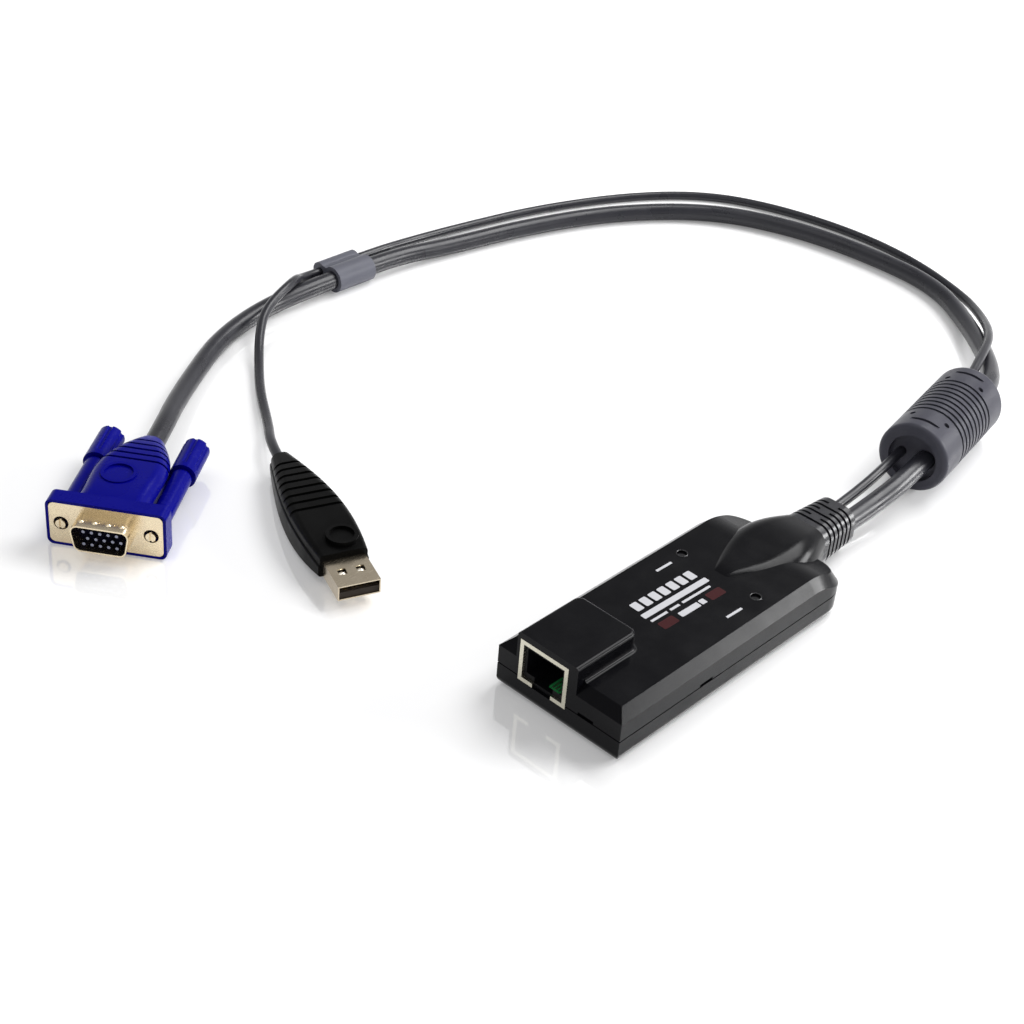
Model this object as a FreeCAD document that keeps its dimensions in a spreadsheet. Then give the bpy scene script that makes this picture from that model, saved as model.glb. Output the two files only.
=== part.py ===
import FreeCAD, Part
import math
import os
import re
import Sketcher
from FreeCAD import Placement, Rotation, Vector

# A KVM dongle: a two-shell case with a network jack in a raised block at one end and a ribbed boot with
# two cords at the other, a ferrite barrel and a clamp on the cords, a 15-pin video plug and a USB-A
# plug. Millimetres. Frame: origin on the surface that the case stands on, under the middle of the case
# with its neck. +X runs from the jack to the boot, +Z up, +Y to the left when looking along +X.

doc = FreeCAD.newDocument("kvm_dongle")

# ------------------------------------------------------------------------------ driving dimensions
DIMS = [
    # case
    ("body_length", 95.5), ("neck_length", 4.5), ("case_width", 41.0), ("case_height", 15.1),
    ("seam_height", 6.7), ("case_wall", 1.8), ("edge_bevel", 2.75), ("rear_corner_radius", 9.5),
    ("underside_radius", 2.4), ("slope_run", 17.5), ("slope_radius", 20.0), ("slope_angle", 20.0),
    ("seam_groove", 0.35), ("seam_groove_depth", 0.5),
    ("notch_width", 5.0), ("notch_height", 1.1), ("notch_depth", 0.7), ("front_notch_place", 9.3),
    ("side_notch_place", 33.2),
    # neck, with places counted back from its end
    ("neck_tip_place", 37.5), ("neck_tip_width", 7.0), ("neck_swell_place", 29.0),
    ("neck_swell_width", 15.6), ("neck_swell_rise", 0.6), ("neck_back_place", 19.5),
    ("neck_back_width", 24.0), ("neck_back_rise", 0.8), ("neck_mid_place", 10.0),
    ("neck_mid_width", 22.8), ("neck_mid_rise", 0.9), ("neck_throat_place", 4.0),
    ("neck_throat_width", 18.6), ("neck_throat_rise", 0.1), ("neck_end_width", 15.6),
    ("neck_end_top", 14.3), ("neck_end_bottom", 0.9), ("neck_roundness", 0.27),
    ("neck_passage", 8.0),
    # cord boot
    ("boot_length", 16.0), ("boot_root_width", 15.2), ("boot_root_height", 12.8),
    ("boot_tip_width", 13.2), ("boot_tip_height", 12.0), ("boot_axis_height", 7.5),
    ("boot_corner_radius", 4.2), ("boot_plug_depth", 5.0), ("boot_first_groove", 2.6),
    ("boot_groove", 0.9), ("boot_groove_depth", 1.0), ("boot_pitch", 2.1), ("boot_bridge", 3.2),
    # raised block over the jack, and the jack
    ("block_length", 22.5), ("block_height", 20.5), ("block_left", 14.5), ("block_right", 5.6),
    ("block_edge_radius", 1.0), ("block_corner_radius", 2.4), ("block_foot_radius", 1.0),
    ("jack_width", 16.0), ("jack_height", 12.8), ("jack_length", 20.0), ("jack_centre", 5.5),
    ("shield_sheet", 0.3), ("shield_frame", 1.2), ("shield_face", 0.8), ("socket_width", 11.8),
    ("socket_height", 8.2), ("socket_depth", 13.0), ("latch_width", 6.2), ("latch_depth", 1.6),
    ("jack_contact", 0.45), ("jack_contact_pitch", 1.02), ("jack_contact_length", 8.0),
    ("jack_gap", 0.1), ("carrier_thickness", 2.0), ("carrier_length", 3.0),
    # board and what is soldered to it
    ("board_side_gap", 1.2), ("board_end_gap", 0.4), ("board_thickness", 1.6), ("board_top", 5.8),
    ("chip_side", 14.0), ("chip_height", 1.5), ("chip_inset", 11.9), ("magnetics_length", 12.7),
    ("magnetics_width", 9.5), ("magnetics_height", 5.8), ("crystal_length", 9.5),
    ("crystal_width", 4.6), ("crystal_height", 3.5), ("part_gap", 0.7),
    ("capacitor_diameter", 5.0), ("capacitor_height", 5.6), ("capacitor_pitch", 7.0),
    ("header_height", 4.6), ("header_length", 6.0), ("header_inset", 7.0),
    ("video_header_width", 13.0), ("usb_header_width", 8.0),
    # lamps and case screws
    ("lamp_inset", 33.6), ("lamp_spread", 25.0), ("lamp_hole", 2.9), ("lamp_diameter", 2.7),
    ("lamp_recess", 0.5), ("screw_place", 36.0), ("screw_spread", 27.0), ("screw_diameter", 2.4),
    ("screw_head", 4.4), ("screw_head_height", 1.6), ("screw_bite", 4.0), ("boss_diameter", 6.4),
    ("screw_recess", 0.3), ("screw_clearance", 0.1),
    # cords
    ("video_cord", 6.0), ("usb_cord", 3.0),
    # ferrite barrel
    ("barrel_diameter", 21.9), ("barrel_length", 42.8), ("barrel_edge_radius", 1.6),
    ("barrel_rib_pitch", 2.45), ("barrel_rib_groove", 1.0), ("barrel_rib_depth", 0.5),
    ("barrel_ribs_start", 11.6), ("barrel_ribs_length", 20.6), ("barrel_mouth", 15.0),
    ("barrel_mouth_depth", 2.2), ("barrel_end_wall", 1.4), ("core_diameter", 17.6),
    ("core_bore", 13.4), ("video_lane", 3.4), ("usb_lane", 4.2), ("latch_slot", 1.2),
    ("latch_slot_depth", 0.6), ("latch_slot_place", 4.2), ("latch_slot_width", 9.0),
    ("latch_hole", 1.6), ("latch_hole_place", 8.6), ("latch_hole_reach", 5.4),
    ("barrel_heading", 10.2),
    # cord clamp
    ("clamp_length", 15.0), ("clamp_video_radius", 4.4), ("clamp_usb_radius", 3.3),
    ("clamp_axis_height", 4.4), ("clamp_spread", 6.8), ("clamp_heading", 177.3),
    # video plug, with places counted back from its flange
    ("flange_width", 31.6), ("flange_height", 12.8), ("flange_sheet", 0.8), ("flange_radius", 1.6),
    ("jackscrew_spread", 25.0), ("jackscrew_hole", 4.2), ("plug_shell_width", 16.9),
    ("plug_shell_height", 8.3), ("plug_shell_depth", 5.8), ("plug_shell_sheet", 0.45),
    ("plug_shell_lean", 10.0), ("plug_shell_radius", 2.2), ("pin_diameter", 0.9),
    ("pin_length", 5.0), ("pin_pitch", 2.29), ("pin_row_pitch", 1.98), ("insulator_rise", 0.6),
    ("insulator_depth", 4.0), ("hood_rim", 0.9), ("hood_bar_depth", 5.0), ("hood_radius", 2.0),
    ("hood_length", 41.0), ("hood_width", 20.6), ("hood_height", 13.8), ("hood_mid", 18.0),
    ("hood_waist", 30.0), ("hood_waist_width", 17.8), ("hood_waist_height", 12.6),
    ("hood_throat", 36.5), ("hood_throat_width", 12.6), ("hood_throat_height", 10.8),
    ("hood_exit_width", 8.2), ("hood_exit_height", 8.2), ("hood_ribs_start", 24.6),
    ("hood_rib_pitch", 2.9), ("hood_rib_groove", 0.9), ("hood_rib_depth", 0.8),
    ("hood_badge", 10.0), ("hood_badge_band", 1.0), ("hood_badge_rise", 0.5),
    ("hood_badge_place", 17.0), ("hood_badge_shift", 1.6), ("channel_gap", 0.35),
    ("jackscrew_diameter", 2.8), ("jackscrew_clearance", 0.08), ("jackscrew_tip", 0.6),
    ("grip_diameter", 7.7), ("grip_length", 14.0), ("grip_flute", 1.7), ("shank_diameter", 5.9),
    ("shank_length", 24.0), ("grip_neck", 1.0), ("grip_neck_depth", 0.9), ("grip_gap", 0.4),
    ("collar_diameter", 4.6), ("collar_length", 1.2), ("collar_place", 2.4), ("collar_gap", 0.3),
    # USB plug, with places counted back from the front of its hood
    ("usb_shell_width", 12.0), ("usb_shell_height", 4.5), ("usb_shell_length", 12.0),
    ("usb_shell_root", 6.0), ("usb_shell_sheet", 0.35), ("usb_window", 2.4),
    ("usb_window_place", 5.0), ("usb_window_spread", 5.2), ("usb_tongue", 1.95),
    ("usb_tongue_recess", 0.4), ("usb_contact_width", 1.1), ("usb_contact_length", 7.4),
    ("usb_contact_sheet", 0.25), ("usb_contact_recess", 1.0), ("usb_hood_length", 52.0),
    ("usb_nose_width", 13.6), ("usb_nose_height", 6.8), ("usb_nose_lift", 0.7),
    ("usb_shoulder", 9.0), ("usb_shoulder_width", 15.6), ("usb_shoulder_height", 8.8),
    ("usb_shoulder_lift", 0.3), ("usb_waist", 23.0), ("usb_waist_width", 15.8),
    ("usb_waist_height", 10.0), ("usb_throat", 40.0), ("usb_throat_width", 11.2),
    ("usb_throat_height", 8.6), ("usb_tail_width", 5.8), ("usb_tail_height", 5.8),
    ("usb_ledge", 0.8), ("usb_ledge_height", 3.0), ("usb_ribs_start", 20.0),
    ("usb_rib_pitch", 3.5), ("usb_rib_groove", 1.2), ("usb_rib_depth", 0.6),
    ("usb_badge", 9.0), ("usb_badge_band", 1.1), ("usb_badge_rise", 1.3),
    ("usb_badge_place", 6.0), ("usb_badge_shift", 1.6), ("usb_axis_height", 5.3),
]

sheet = doc.addObject("Spreadsheet::Sheet", "Dims")
for row, (alias, size) in enumerate(DIMS, start=1):
    sheet.set("A%d" % row, alias)
    sheet.set("B%d" % row, str(size))
    sheet.setAlias("B%d" % row, alias)
doc.recompute()

ALIASES = re.compile(r"\b(%s)\b" % "|".join(alias for alias, _ in DIMS))


def linked(expression):
    """The expression with each dimension's name turned into a reference to its cell."""
    return ALIASES.sub(r"Dims.\1", expression)


def value(expression):
    """What an expression over the dimensions comes to now."""
    return float(sheet.evalExpression(linked(expression)))


def bind(thing, **properties):
    """Ties properties to expressions; a double underscore in a name stands for a dot."""
    for name, expression in properties.items():
        thing.setExpression(name.replace("__", "."), linked(expression))
    return thing


def at(thing, x="0", y="0", z="0"):
    return bind(thing, Placement__Base__x=x, Placement__Base__y=y, Placement__Base__z=z)


# ------------------------------------------------------------------------------ primitives
def box(name, x, y, z):
    """A box between two expressions along each axis."""
    thing = doc.addObject("Part::Box", name)
    bind(thing, Length="(%s) - (%s)" % (x[1], x[0]), Width="(%s) - (%s)" % (y[1], y[0]),
         Height="(%s) - (%s)" % (z[1], z[0]))
    return at(thing, x[0], y[0], z[0])


def rod(name, start, direction, diameter, length):
    """A cylinder from a start point (three expressions) along a direction."""
    thing = doc.addObject("Part::Cylinder", name)
    bind(thing, Radius="(%s) / 2" % diameter, Height=length)
    thing.Placement = Placement(Vector(), Rotation(Vector(0, 0, 1), Vector(*direction)))
    return at(thing, *start)


def fuse(name, *parts):
    thing = doc.addObject("Part::MultiFuse", name)
    thing.Shapes = list(parts)
    return thing


def cut(name, base, *tools):
    thing = doc.addObject("Part::Cut", name)
    thing.Base = base
    thing.Tool = tools[0] if len(tools) == 1 else fuse(name + "_tools", *tools)
    return thing


def common(name, first, second):
    thing = doc.addObject("Part::Common", name)
    thing.Base, thing.Tool = first, second
    return thing


def group(name, *parts):
    """Separate solids kept together as one piece."""
    thing = doc.addObject("Part::Compound", name)
    thing.Links = list(parts)
    return thing


# ------------------------------------------------------------------------------ sketches and bodies
def body(name):
    return doc.addObject("PartDesign::Body", name)


def sketch(owner, name, role, offset="0"):
    """An empty sketch on one of the body's own origin planes, moved along its normal by offset."""
    thing = owner.newObject("Sketcher::SketchObject", name)
    plane = next(item for item in owner.Origin.OriginFeatures if item.Role == role)
    thing.AttachmentSupport = [(plane, "")]
    thing.MapMode = "FlatFace"
    return bind(thing, AttachmentOffset__Base__z=offset)


def drive(profile, kind, *where):
    """Adds a constraint whose last item is the expression that drives it."""
    *where, expression = where
    index = profile.addConstraint(Sketcher.Constraint(kind, *where, value(expression)))
    profile.setExpression("Constraints[%d]" % index, linked(expression))


def polygon(profile, *corners):
    """A closed loop of straight lines through corners, each a pair of expressions."""
    first, count = profile.GeometryCount, len(corners)
    points = [Vector(value(u), value(v), 0) for u, v in corners]
    profile.addGeometry([Part.LineSegment(points[i], points[(i + 1) % count]) for i in range(count)],
                        False)
    for i, (u, v) in enumerate(corners):
        profile.addConstraint(
            Sketcher.Constraint("Coincident", first + i, 2, first + (i + 1) % count, 1))
        drive(profile, "DistanceX", -1, 1, first + i, 1, u)
        drive(profile, "DistanceY", -1, 1, first + i, 1, v)
    return profile


def rounded(profile, u, v, radius):
    """A rounded rectangle between two expressions along each of the sketch's axes."""
    (left, right), (low, high) = [value(e) for e in u], [value(e) for e in v]
    r, first = value(radius), profile.GeometryCount
    turns = [(right - r, low + r, 270), (right - r, high - r, 0), (left + r, high - r, 90),
             (left + r, low + r, 180)]
    sides = [((left + r, low), (right - r, low)), ((right, low + r), (right, high - r)),
             ((right - r, high), (left + r, high)), ((left, high - r), (left, low + r))]
    edges = []
    for (start, end), (x, y, angle) in zip(sides, turns):
        edges.append(Part.LineSegment(Vector(*start, 0), Vector(*end, 0)))
        edges.append(Part.ArcOfCircle(Part.Circle(Vector(x, y, 0), Vector(0, 0, 1), r),
                                      math.radians(angle), math.radians(angle + 90)))
    profile.addGeometry(edges, False)
    for i in range(8):
        profile.addConstraint(
            Sketcher.Constraint("Tangent", first + i, 2, first + (i + 1) % 8, 1))
    for i in (0, 4):
        profile.addConstraint(Sketcher.Constraint("Horizontal", first + i))
        profile.addConstraint(Sketcher.Constraint("Vertical", first + i + 2))
    for i in (3, 5, 7):
        profile.addConstraint(Sketcher.Constraint("Equal", first + 1, first + i))
    drive(profile, "Radius", first + 1, radius)
    drive(profile, "DistanceX", -1, 1, first + 6, 1, u[0])
    drive(profile, "DistanceX", -1, 1, first + 2, 1, u[1])
    drive(profile, "DistanceY", -1, 1, first, 1, v[0])
    drive(profile, "DistanceY", -1, 1, first + 4, 1, v[1])
    return profile


def feature(owner, kind, name, **expressions):
    thing = owner.newObject("PartDesign::" + kind, name)
    return bind(thing, **expressions)


def pad(owner, name, profile, length, reverse=False):
    thing = feature(owner, "Pad", name, Length=length)
    thing.Profile = profile
    thing.Reversed = reverse
    return thing


def loft(owner, name, sections):
    thing = feature(owner, "AdditiveLoft", name)
    thing.Profile = sections[0]
    thing.Sections = sections[1:]
    return thing


def dress(owner, kind, name, base, chosen, **expressions):
    """A fillet or chamfer of the chosen edges of the feature before it."""
    doc.recompute()
    names = ["Edge%d" % (i + 1) for i, edge in enumerate(base.Shape.Edges) if chosen(edge)]
    thing = feature(owner, kind, name, **expressions)
    thing.Base = (base, names)
    return thing


def straight(edge, direction):
    """Whether an edge is a line along a direction."""
    if edge.Curve.TypeId != "Part::GeomLine":
        return False
    return abs(abs(edge.tangentAt(edge.FirstParameter).dot(Vector(*direction))) - 1) < 1e-6


def section(owner, name, x, width, height, middle, radius):
    """A rounded section across the X axis, centred on the XZ plane."""
    half = "(%s) / 2" % width
    return rounded(sketch(owner, name, "YZ_Plane", x), ("-(%s)" % half, half),
                   ("%s - (%s) / 2" % (middle, height), "%s + (%s) / 2" % (middle, height)), radius)


CASE_LENGTH = "(body_length + neck_length)"
FRONT = "(-%s / 2)" % CASE_LENGTH
REAR = "(body_length - %s / 2)" % CASE_LENGTH
NECK_END = "(%s / 2)" % CASE_LENGTH
SIDE = "(case_width / 2)"
BOARD_WIDTH = "(case_width - 2 * case_wall - 2 * board_side_gap)"

# ------------------------------------------------------------------------------ case form
# Both shells are cut from one form, so that their sides run flush across the seam.
form = body("case_form")
plan = polygon(sketch(form, "plan", "XY_Plane"), (FRONT, "-" + SIDE), (REAR, "-" + SIDE), (REAR, SIDE),
               (FRONT, SIDE))
slab = pad(form, "slab", plan, "case_height")
corners = dress(form, "Fillet", "rear_corners", slab,
                lambda e: straight(e, (0, 0, 1)) and e.Vertexes[0].X > 0, Radius="rear_corner_radius")

# The top runs level, then bends down and slopes to the rear.
slope = sketch(form, "slope", "XZ_Plane")
bend = "(%s - slope_run)" % REAR
fall_x = "(%s + slope_radius * sin(slope_angle * 1deg))" % bend
fall_z = "(case_height - slope_radius * (1 - cos(slope_angle * 1deg)))"
run_x = "(%s + case_wall)" % REAR
run_z = "(%s - (%s - %s) * tan(slope_angle * 1deg))" % (fall_z, run_x, fall_x)
above = "(case_height + case_wall)"
knots = [(bend, "case_height"), (fall_x, fall_z), (run_x, run_z), (run_x, above), (bend, above)]
spots = [Vector(value(u), value(v), 0) for u, v in knots]
hub = Vector(spots[0].x, spots[0].y - value("slope_radius"), 0)
slope.addGeometry(
    [Part.ArcOfCircle(Part.Circle(hub, Vector(0, 0, 1), value("slope_radius")),
                      math.radians(90 - value("slope_angle")), math.radians(90))]
    + [Part.LineSegment(spots[i], spots[(i + 1) % 5]) for i in range(1, 5)], False)
slope.addConstraint(Sketcher.Constraint("Coincident", 0, 1, 1, 1))
for i in (1, 2, 3):
    slope.addConstraint(Sketcher.Constraint("Coincident", i, 2, i + 1, 1))
slope.addConstraint(Sketcher.Constraint("Coincident", 4, 2, 0, 2))
drive(slope, "Radius", 0, "slope_radius")
for edge, corner, (u, v) in ((0, 2, knots[0]), (1, 1, knots[1]), (2, 1, knots[2]), (3, 1, knots[3]),
                             (4, 1, knots[4])):
    drive(slope, "DistanceX", -1, 1, edge, corner, u)
    drive(slope, "DistanceY", -1, 1, edge, corner, v)
fall = feature(form, "Pocket", "fall")
fall.Profile = slope
fall.Type = "ThroughAll"
fall.Midplane = True
doc.recompute()


def upper_rim(edge):
    """Whether an edge bounds the top of the form against its sides."""
    faces = [f for f in fall.Shape.Faces if any(e.isSame(edge) for e in f.Edges)]
    ups = [f.normalAt(*[sum(f.ParameterRange[k:k + 2]) / 2 for k in (0, 2)]).z > 0.5 for f in faces]
    return sum(ups) == 1


bevel = dress(form, "Chamfer", "bevel", fall, upper_rim, Size="edge_bevel")
belly = dress(form, "Fillet", "belly", bevel, lambda e: max(v.Z for v in e.Vertexes) < 1e-6,
              Radius="underside_radius")
neck_sections = []
for i, (back, width, top, bottom) in enumerate([
        ("neck_tip_place", "neck_tip_width", "case_height - 0.05", "underside_radius"),
        ("neck_swell_place", "neck_swell_width", "case_height + neck_swell_rise", "underside_radius"),
        ("neck_back_place", "neck_back_width", "case_height + neck_back_rise", "underside_radius"),
        ("neck_mid_place", "neck_mid_width", "case_height + neck_mid_rise", "edge_bevel / 2"),
        ("neck_throat_place", "neck_throat_width", "case_height + neck_throat_rise",
         "edge_bevel / 2.5"),
        ("0", "neck_end_width", "neck_end_top", "neck_end_bottom")]):
    half = "(%s) / 2" % width
    neck_sections.append(rounded(
        sketch(form, "neck_section_%d" % i, "YZ_Plane", "%s - %s" % (NECK_END, back)),
        ("-" + half, half), (bottom, top), "neck_roundness * " + width))
neck = loft(form, "neck", neck_sections)

# Raised block over the jack, flush with the front, with a rounded foot on the level top.
block = body("jack_block")
BLOCK_REAR = FRONT + " + block_length"
MARGIN = " 2 * block_foot_radius"
raised = pad(block, "raised", polygon(
    sketch(block, "block_plan", "XY_Plane", "seam_height"), (FRONT, "-block_right"),
    (BLOCK_REAR, "-block_right"), (BLOCK_REAR, "block_left"), (FRONT, "block_left")),
    "block_height - seam_height")
footing = pad(block, "footing", polygon(
    sketch(block, "footing_plan", "XY_Plane", "seam_height"),
    (FRONT + " + edge_bevel + 0.05", "-block_right -" + MARGIN),
    (BLOCK_REAR + " +" + MARGIN, "-block_right -" + MARGIN),
    (BLOCK_REAR + " +" + MARGIN, "block_left +" + MARGIN),
    (FRONT + " + edge_bevel + 0.05", "block_left +" + MARGIN)), "case_height - seam_height")
block_rear = dress(block, "Fillet", "block_corners", footing,
                   lambda e: straight(e, (0, 0, 1)) and e.Vertexes[0].X > value(FRONT) + 1
                   and max(v.Z for v in e.Vertexes) > value("case_height") + 1,
                   Radius="block_corner_radius")
block_rim = dress(block, "Fillet", "block_edges", block_rear,
                  lambda e: min(v.Z for v in e.Vertexes) > value("block_height") - 1e-6
                  and max(v.X for v in e.Vertexes) > value(FRONT) + 1e-6, Radius="block_edge_radius")


def at_foot(edge):
    """Whether an edge of the block lies where its walls meet the level top."""
    box = edge.BoundBox
    return (abs(box.ZMin - value("case_height")) < 1e-6 and box.ZLength < 1e-6
            and box.XMax < value(BLOCK_REAR) + 1e-6 and box.YMin > -value("block_right") - 1e-6
            and box.YMax < value("block_left") + 1e-6)


dress(block, "Fillet", "block_foot", block_rim, at_foot, Radius="block_foot_radius")

# A narrow groove runs round the case above the seam.
ring = body("seam_ring")
ring_plan = sketch(ring, "ring_plan", "XY_Plane", "seam_height")
inset = "seam_groove_depth"
polygon(ring_plan, (FRONT + " - 1", "-%s - 1" % SIDE), (REAR + " + 1", "-%s - 1" % SIDE),
        (REAR + " + 1", SIDE + " + 1"), (FRONT + " - 1", SIDE + " + 1"))
rounded(ring_plan, (FRONT + " + " + inset, REAR + " - " + inset),
        ("-%s + %s" % (SIDE, inset), "%s - %s" % (SIDE, inset)), "rear_corner_radius - " + inset)
pad(ring, "ring", ring_plan, "seam_groove")

JACK = {
    "x": (FRONT, FRONT + " + jack_length"),
    "y": ("jack_centre - jack_width / 2", "jack_centre + jack_width / 2"),
    "z": ("board_top", "board_top + jack_height"),
}
jack_room = box("jack_room", (FRONT + " - 1", FRONT + " + jack_length + jack_gap"),
                (JACK["y"][0] + " - jack_gap", JACK["y"][1] + " + jack_gap"),
                ("board_top - jack_gap", "board_top + jack_height + jack_gap"))
passage = box("passage", ("%s - case_wall - 6" % REAR, NECK_END + " + 1"),
              ("-neck_passage * 0.65", "neck_passage * 0.65"),
              ("boot_axis_height - neck_passage / 2", "boot_axis_height + neck_passage / 2"))
LAMP_X = REAR + " - lamp_inset"
SCREW_X = FRONT + " + screw_place"
SPREADS = (("right", "-%s / 2"), ("left", "%s / 2"))


def pair(name, spread, make):
    return [make("%s_%s" % (name, hand), where % spread) for hand, where in SPREADS]


# ------------------------------------------------------------------------------ upper shell
ROOM_TOP = "case_height - case_wall"
room_body = body("upper_room")
room_profile = polygon(
    sketch(room_body, "room_profile", "YZ_Plane", FRONT + " + case_wall"),
    ("-%s + case_wall" % SIDE, "seam_height - 1"), ("%s - case_wall" % SIDE, "seam_height - 1"),
    ("%s - case_wall" % SIDE, ROOM_TOP + " - edge_bevel + case_wall / 2"),
    ("%s - case_wall / 2 - edge_bevel" % SIDE, ROOM_TOP),
    ("-%s + case_wall / 2 + edge_bevel" % SIDE, ROOM_TOP),
    ("-%s + case_wall" % SIDE, ROOM_TOP + " - edge_bevel + case_wall / 2"))
pad(room_body, "room", room_profile, "body_length - slope_run - case_wall - 2")
rear_room = box("rear_room", (bend + " - 3", REAR + " - case_wall - 4"),
                ("-neck_mid_width / 2", "neck_mid_width / 2"),
                ("seam_height - 1", "boot_axis_height + neck_passage / 2"))
upper_half = box("upper_half", (FRONT + " - 1", NECK_END + " + 1"), ("-case_width", "case_width"),
                 ("seam_height", "block_height + 1"))
lamp_holes = pair("lamp_hole_cut", "lamp_spread", lambda name, y: rod(
    name, (LAMP_X, y, "seam_height"), (0, 0, 1), "lamp_hole", "case_height"))
upper_bosses = pair("upper_boss", "screw_spread", lambda name, y: rod(
    name, (SCREW_X, y, "board_top"), (0, 0, 1), "boss_diameter",
    "case_height - case_wall / 2 - board_top"))
screw_bores = pair("screw_bore", "screw_spread", lambda name, y: rod(
    name, (SCREW_X, y, "board_top - 1"), (0, 0, 1), "screw_diameter", "screw_bite + 1"))
notches = [
    box("front_notch", (FRONT + " - 1", FRONT + " + notch_depth"),
        ("-front_notch_place - notch_width / 2", "-front_notch_place + notch_width / 2"),
        ("seam_height - 1", "seam_height + notch_height")),
    box("side_notch", (FRONT + " + side_notch_place - notch_width / 2",
                       FRONT + " + side_notch_place + notch_width / 2"),
        ("-%s - 1" % SIDE, "-%s + notch_depth" % SIDE),
        ("seam_height - 1", "seam_height + notch_height")),
]
shell_top = fuse("shell_top", common("case_top", form, upper_half), block)
hollow_top = cut("hollow_top", shell_top, room_body, rear_room, passage, ring)
upper_shell = cut("upper_shell", fuse("bossed_top", hollow_top, *upper_bosses), jack_room,
                  *(lamp_holes + screw_bores + notches))

# ------------------------------------------------------------------------------ lower shell
lower_half = box("lower_half", (FRONT + " - 1", NECK_END + " + 1"), ("-case_width", "case_width"),
                 ("-1", "seam_height"))
lower_room = box("lower_room", (FRONT + " + case_wall", REAR + " - rear_corner_radius"),
                 ("-%s + case_wall" % SIDE, "%s - case_wall" % SIDE), ("case_wall", "seam_height + 1"))
lower_rear = box("lower_rear", (REAR + " - rear_corner_radius - 1", REAR + " - case_wall - 4"),
                 ("-neck_mid_width / 2", "neck_mid_width / 2"), ("case_wall", "seam_height + 1"))
BOARD_UNDER = "(board_top - board_thickness)"
lower_bosses = pair("lower_boss", "screw_spread", lambda name, y: rod(
    name, (SCREW_X, y, "case_wall / 2"), (0, 0, 1), "boss_diameter", BOARD_UNDER + " - case_wall / 2"))
shank_holes = pair("shank_hole", "screw_spread", lambda name, y: rod(
    name, (SCREW_X, y, "-1"), (0, 0, 1), "screw_diameter + 2 * screw_clearance", "board_top + 1"))
head_holes = pair("head_hole", "screw_spread", lambda name, y: rod(
    name, (SCREW_X, y, "-1"), (0, 0, 1), "screw_head + 2 * screw_clearance",
    "1 + screw_recess + screw_head_height"))
hollow_base = cut("hollow_base", common("case_base", form, lower_half), lower_room, lower_rear)
rests = [box("board_rest_%d" % i, (x, x + " + case_wall"), ("-%s / 3" % BOARD_WIDTH, "%s / 3" % BOARD_WIDTH),
             ("case_wall / 2", BOARD_UNDER))
         for i, x in enumerate((FRONT + " + 6", bend + " - 2 * case_wall"))]
lower_shell = cut("lower_shell", fuse("bossed_base", hollow_base, *(lower_bosses + rests)), jack_room,
                  passage, *(shank_holes + head_holes))

# ------------------------------------------------------------------------------ board and its parts
board = box("board_blank", (FRONT + " + case_wall + board_end_gap",
                            REAR + " - rear_corner_radius - board_end_gap"),
            ("-%s / 2" % BOARD_WIDTH, "%s / 2" % BOARD_WIDTH), (BOARD_UNDER, "board_top"))
circuit_board = cut("circuit_board", board, *pair(
    "board_hole", "screw_spread", lambda name, y: rod(
        name, (SCREW_X, y, "0"), (0, 0, 1), "screw_diameter + 2 * screw_clearance", "case_height")))


def on_board(name, x, y, length, width, height):
    return box(name, ("%s - (%s) / 2" % (x, length), "%s + (%s) / 2" % (x, length)),
               ("%s - (%s) / 2" % (y, width), "%s + (%s) / 2" % (y, width)),
               ("board_top", "board_top + " + height))


main_chip = on_board("main_chip", LAMP_X + " - chip_inset", "0", "chip_side", "chip_side",
                     "chip_height")
network_magnetics = on_board("network_magnetics", FRONT + " + jack_length + magnetics_width * 0.75",
                             "jack_centre", "magnetics_width", "magnetics_length", "magnetics_height")
crystal = on_board("crystal", LAMP_X + " - lamp_hole / 2 - part_gap - crystal_length / 2",
                   "chip_side / 2 + crystal_width", "crystal_length", "crystal_width",
                   "crystal_height")
HEADER_X = bend + " - header_inset"
video_cord_header = on_board("video_cord_header", HEADER_X, "-video_header_width * 0.45",
                             "header_length", "video_header_width", "header_height")
usb_cord_header = on_board("usb_cord_header", HEADER_X, "usb_header_width * 0.8",
                           "header_length", "usb_header_width", "header_height")
capacitors = group("capacitors", *[
    rod("capacitor_%d" % i, (FRONT + " + %d * capacitor_pitch" % (i + 1),
                             "-%s / 3" % BOARD_WIDTH, "board_top"),
        (0, 0, 1), "capacitor_diameter", "capacitor_height") for i in range(2)])
lamps = pair("lamp", "lamp_spread", lambda name, y: rod(
    name, (LAMP_X, y, "board_top"), (0, 0, 1), "lamp_diameter", "case_height - lamp_recess - board_top"))
lamps[0].Label, lamps[1].Label = "power_lamp", "online_lamp"
case_screws = group("case_screws", *pair("case_screw", "screw_spread", lambda name, y: fuse(
    name, rod(name + "_head", (SCREW_X, y, "screw_recess"), (0, 0, 1), "screw_head",
              "screw_head_height"),
    rod(name + "_shank", (SCREW_X, y, "screw_recess"), (0, 0, 1), "screw_diameter",
        "board_top + screw_bite - screw_recess"))))

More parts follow.
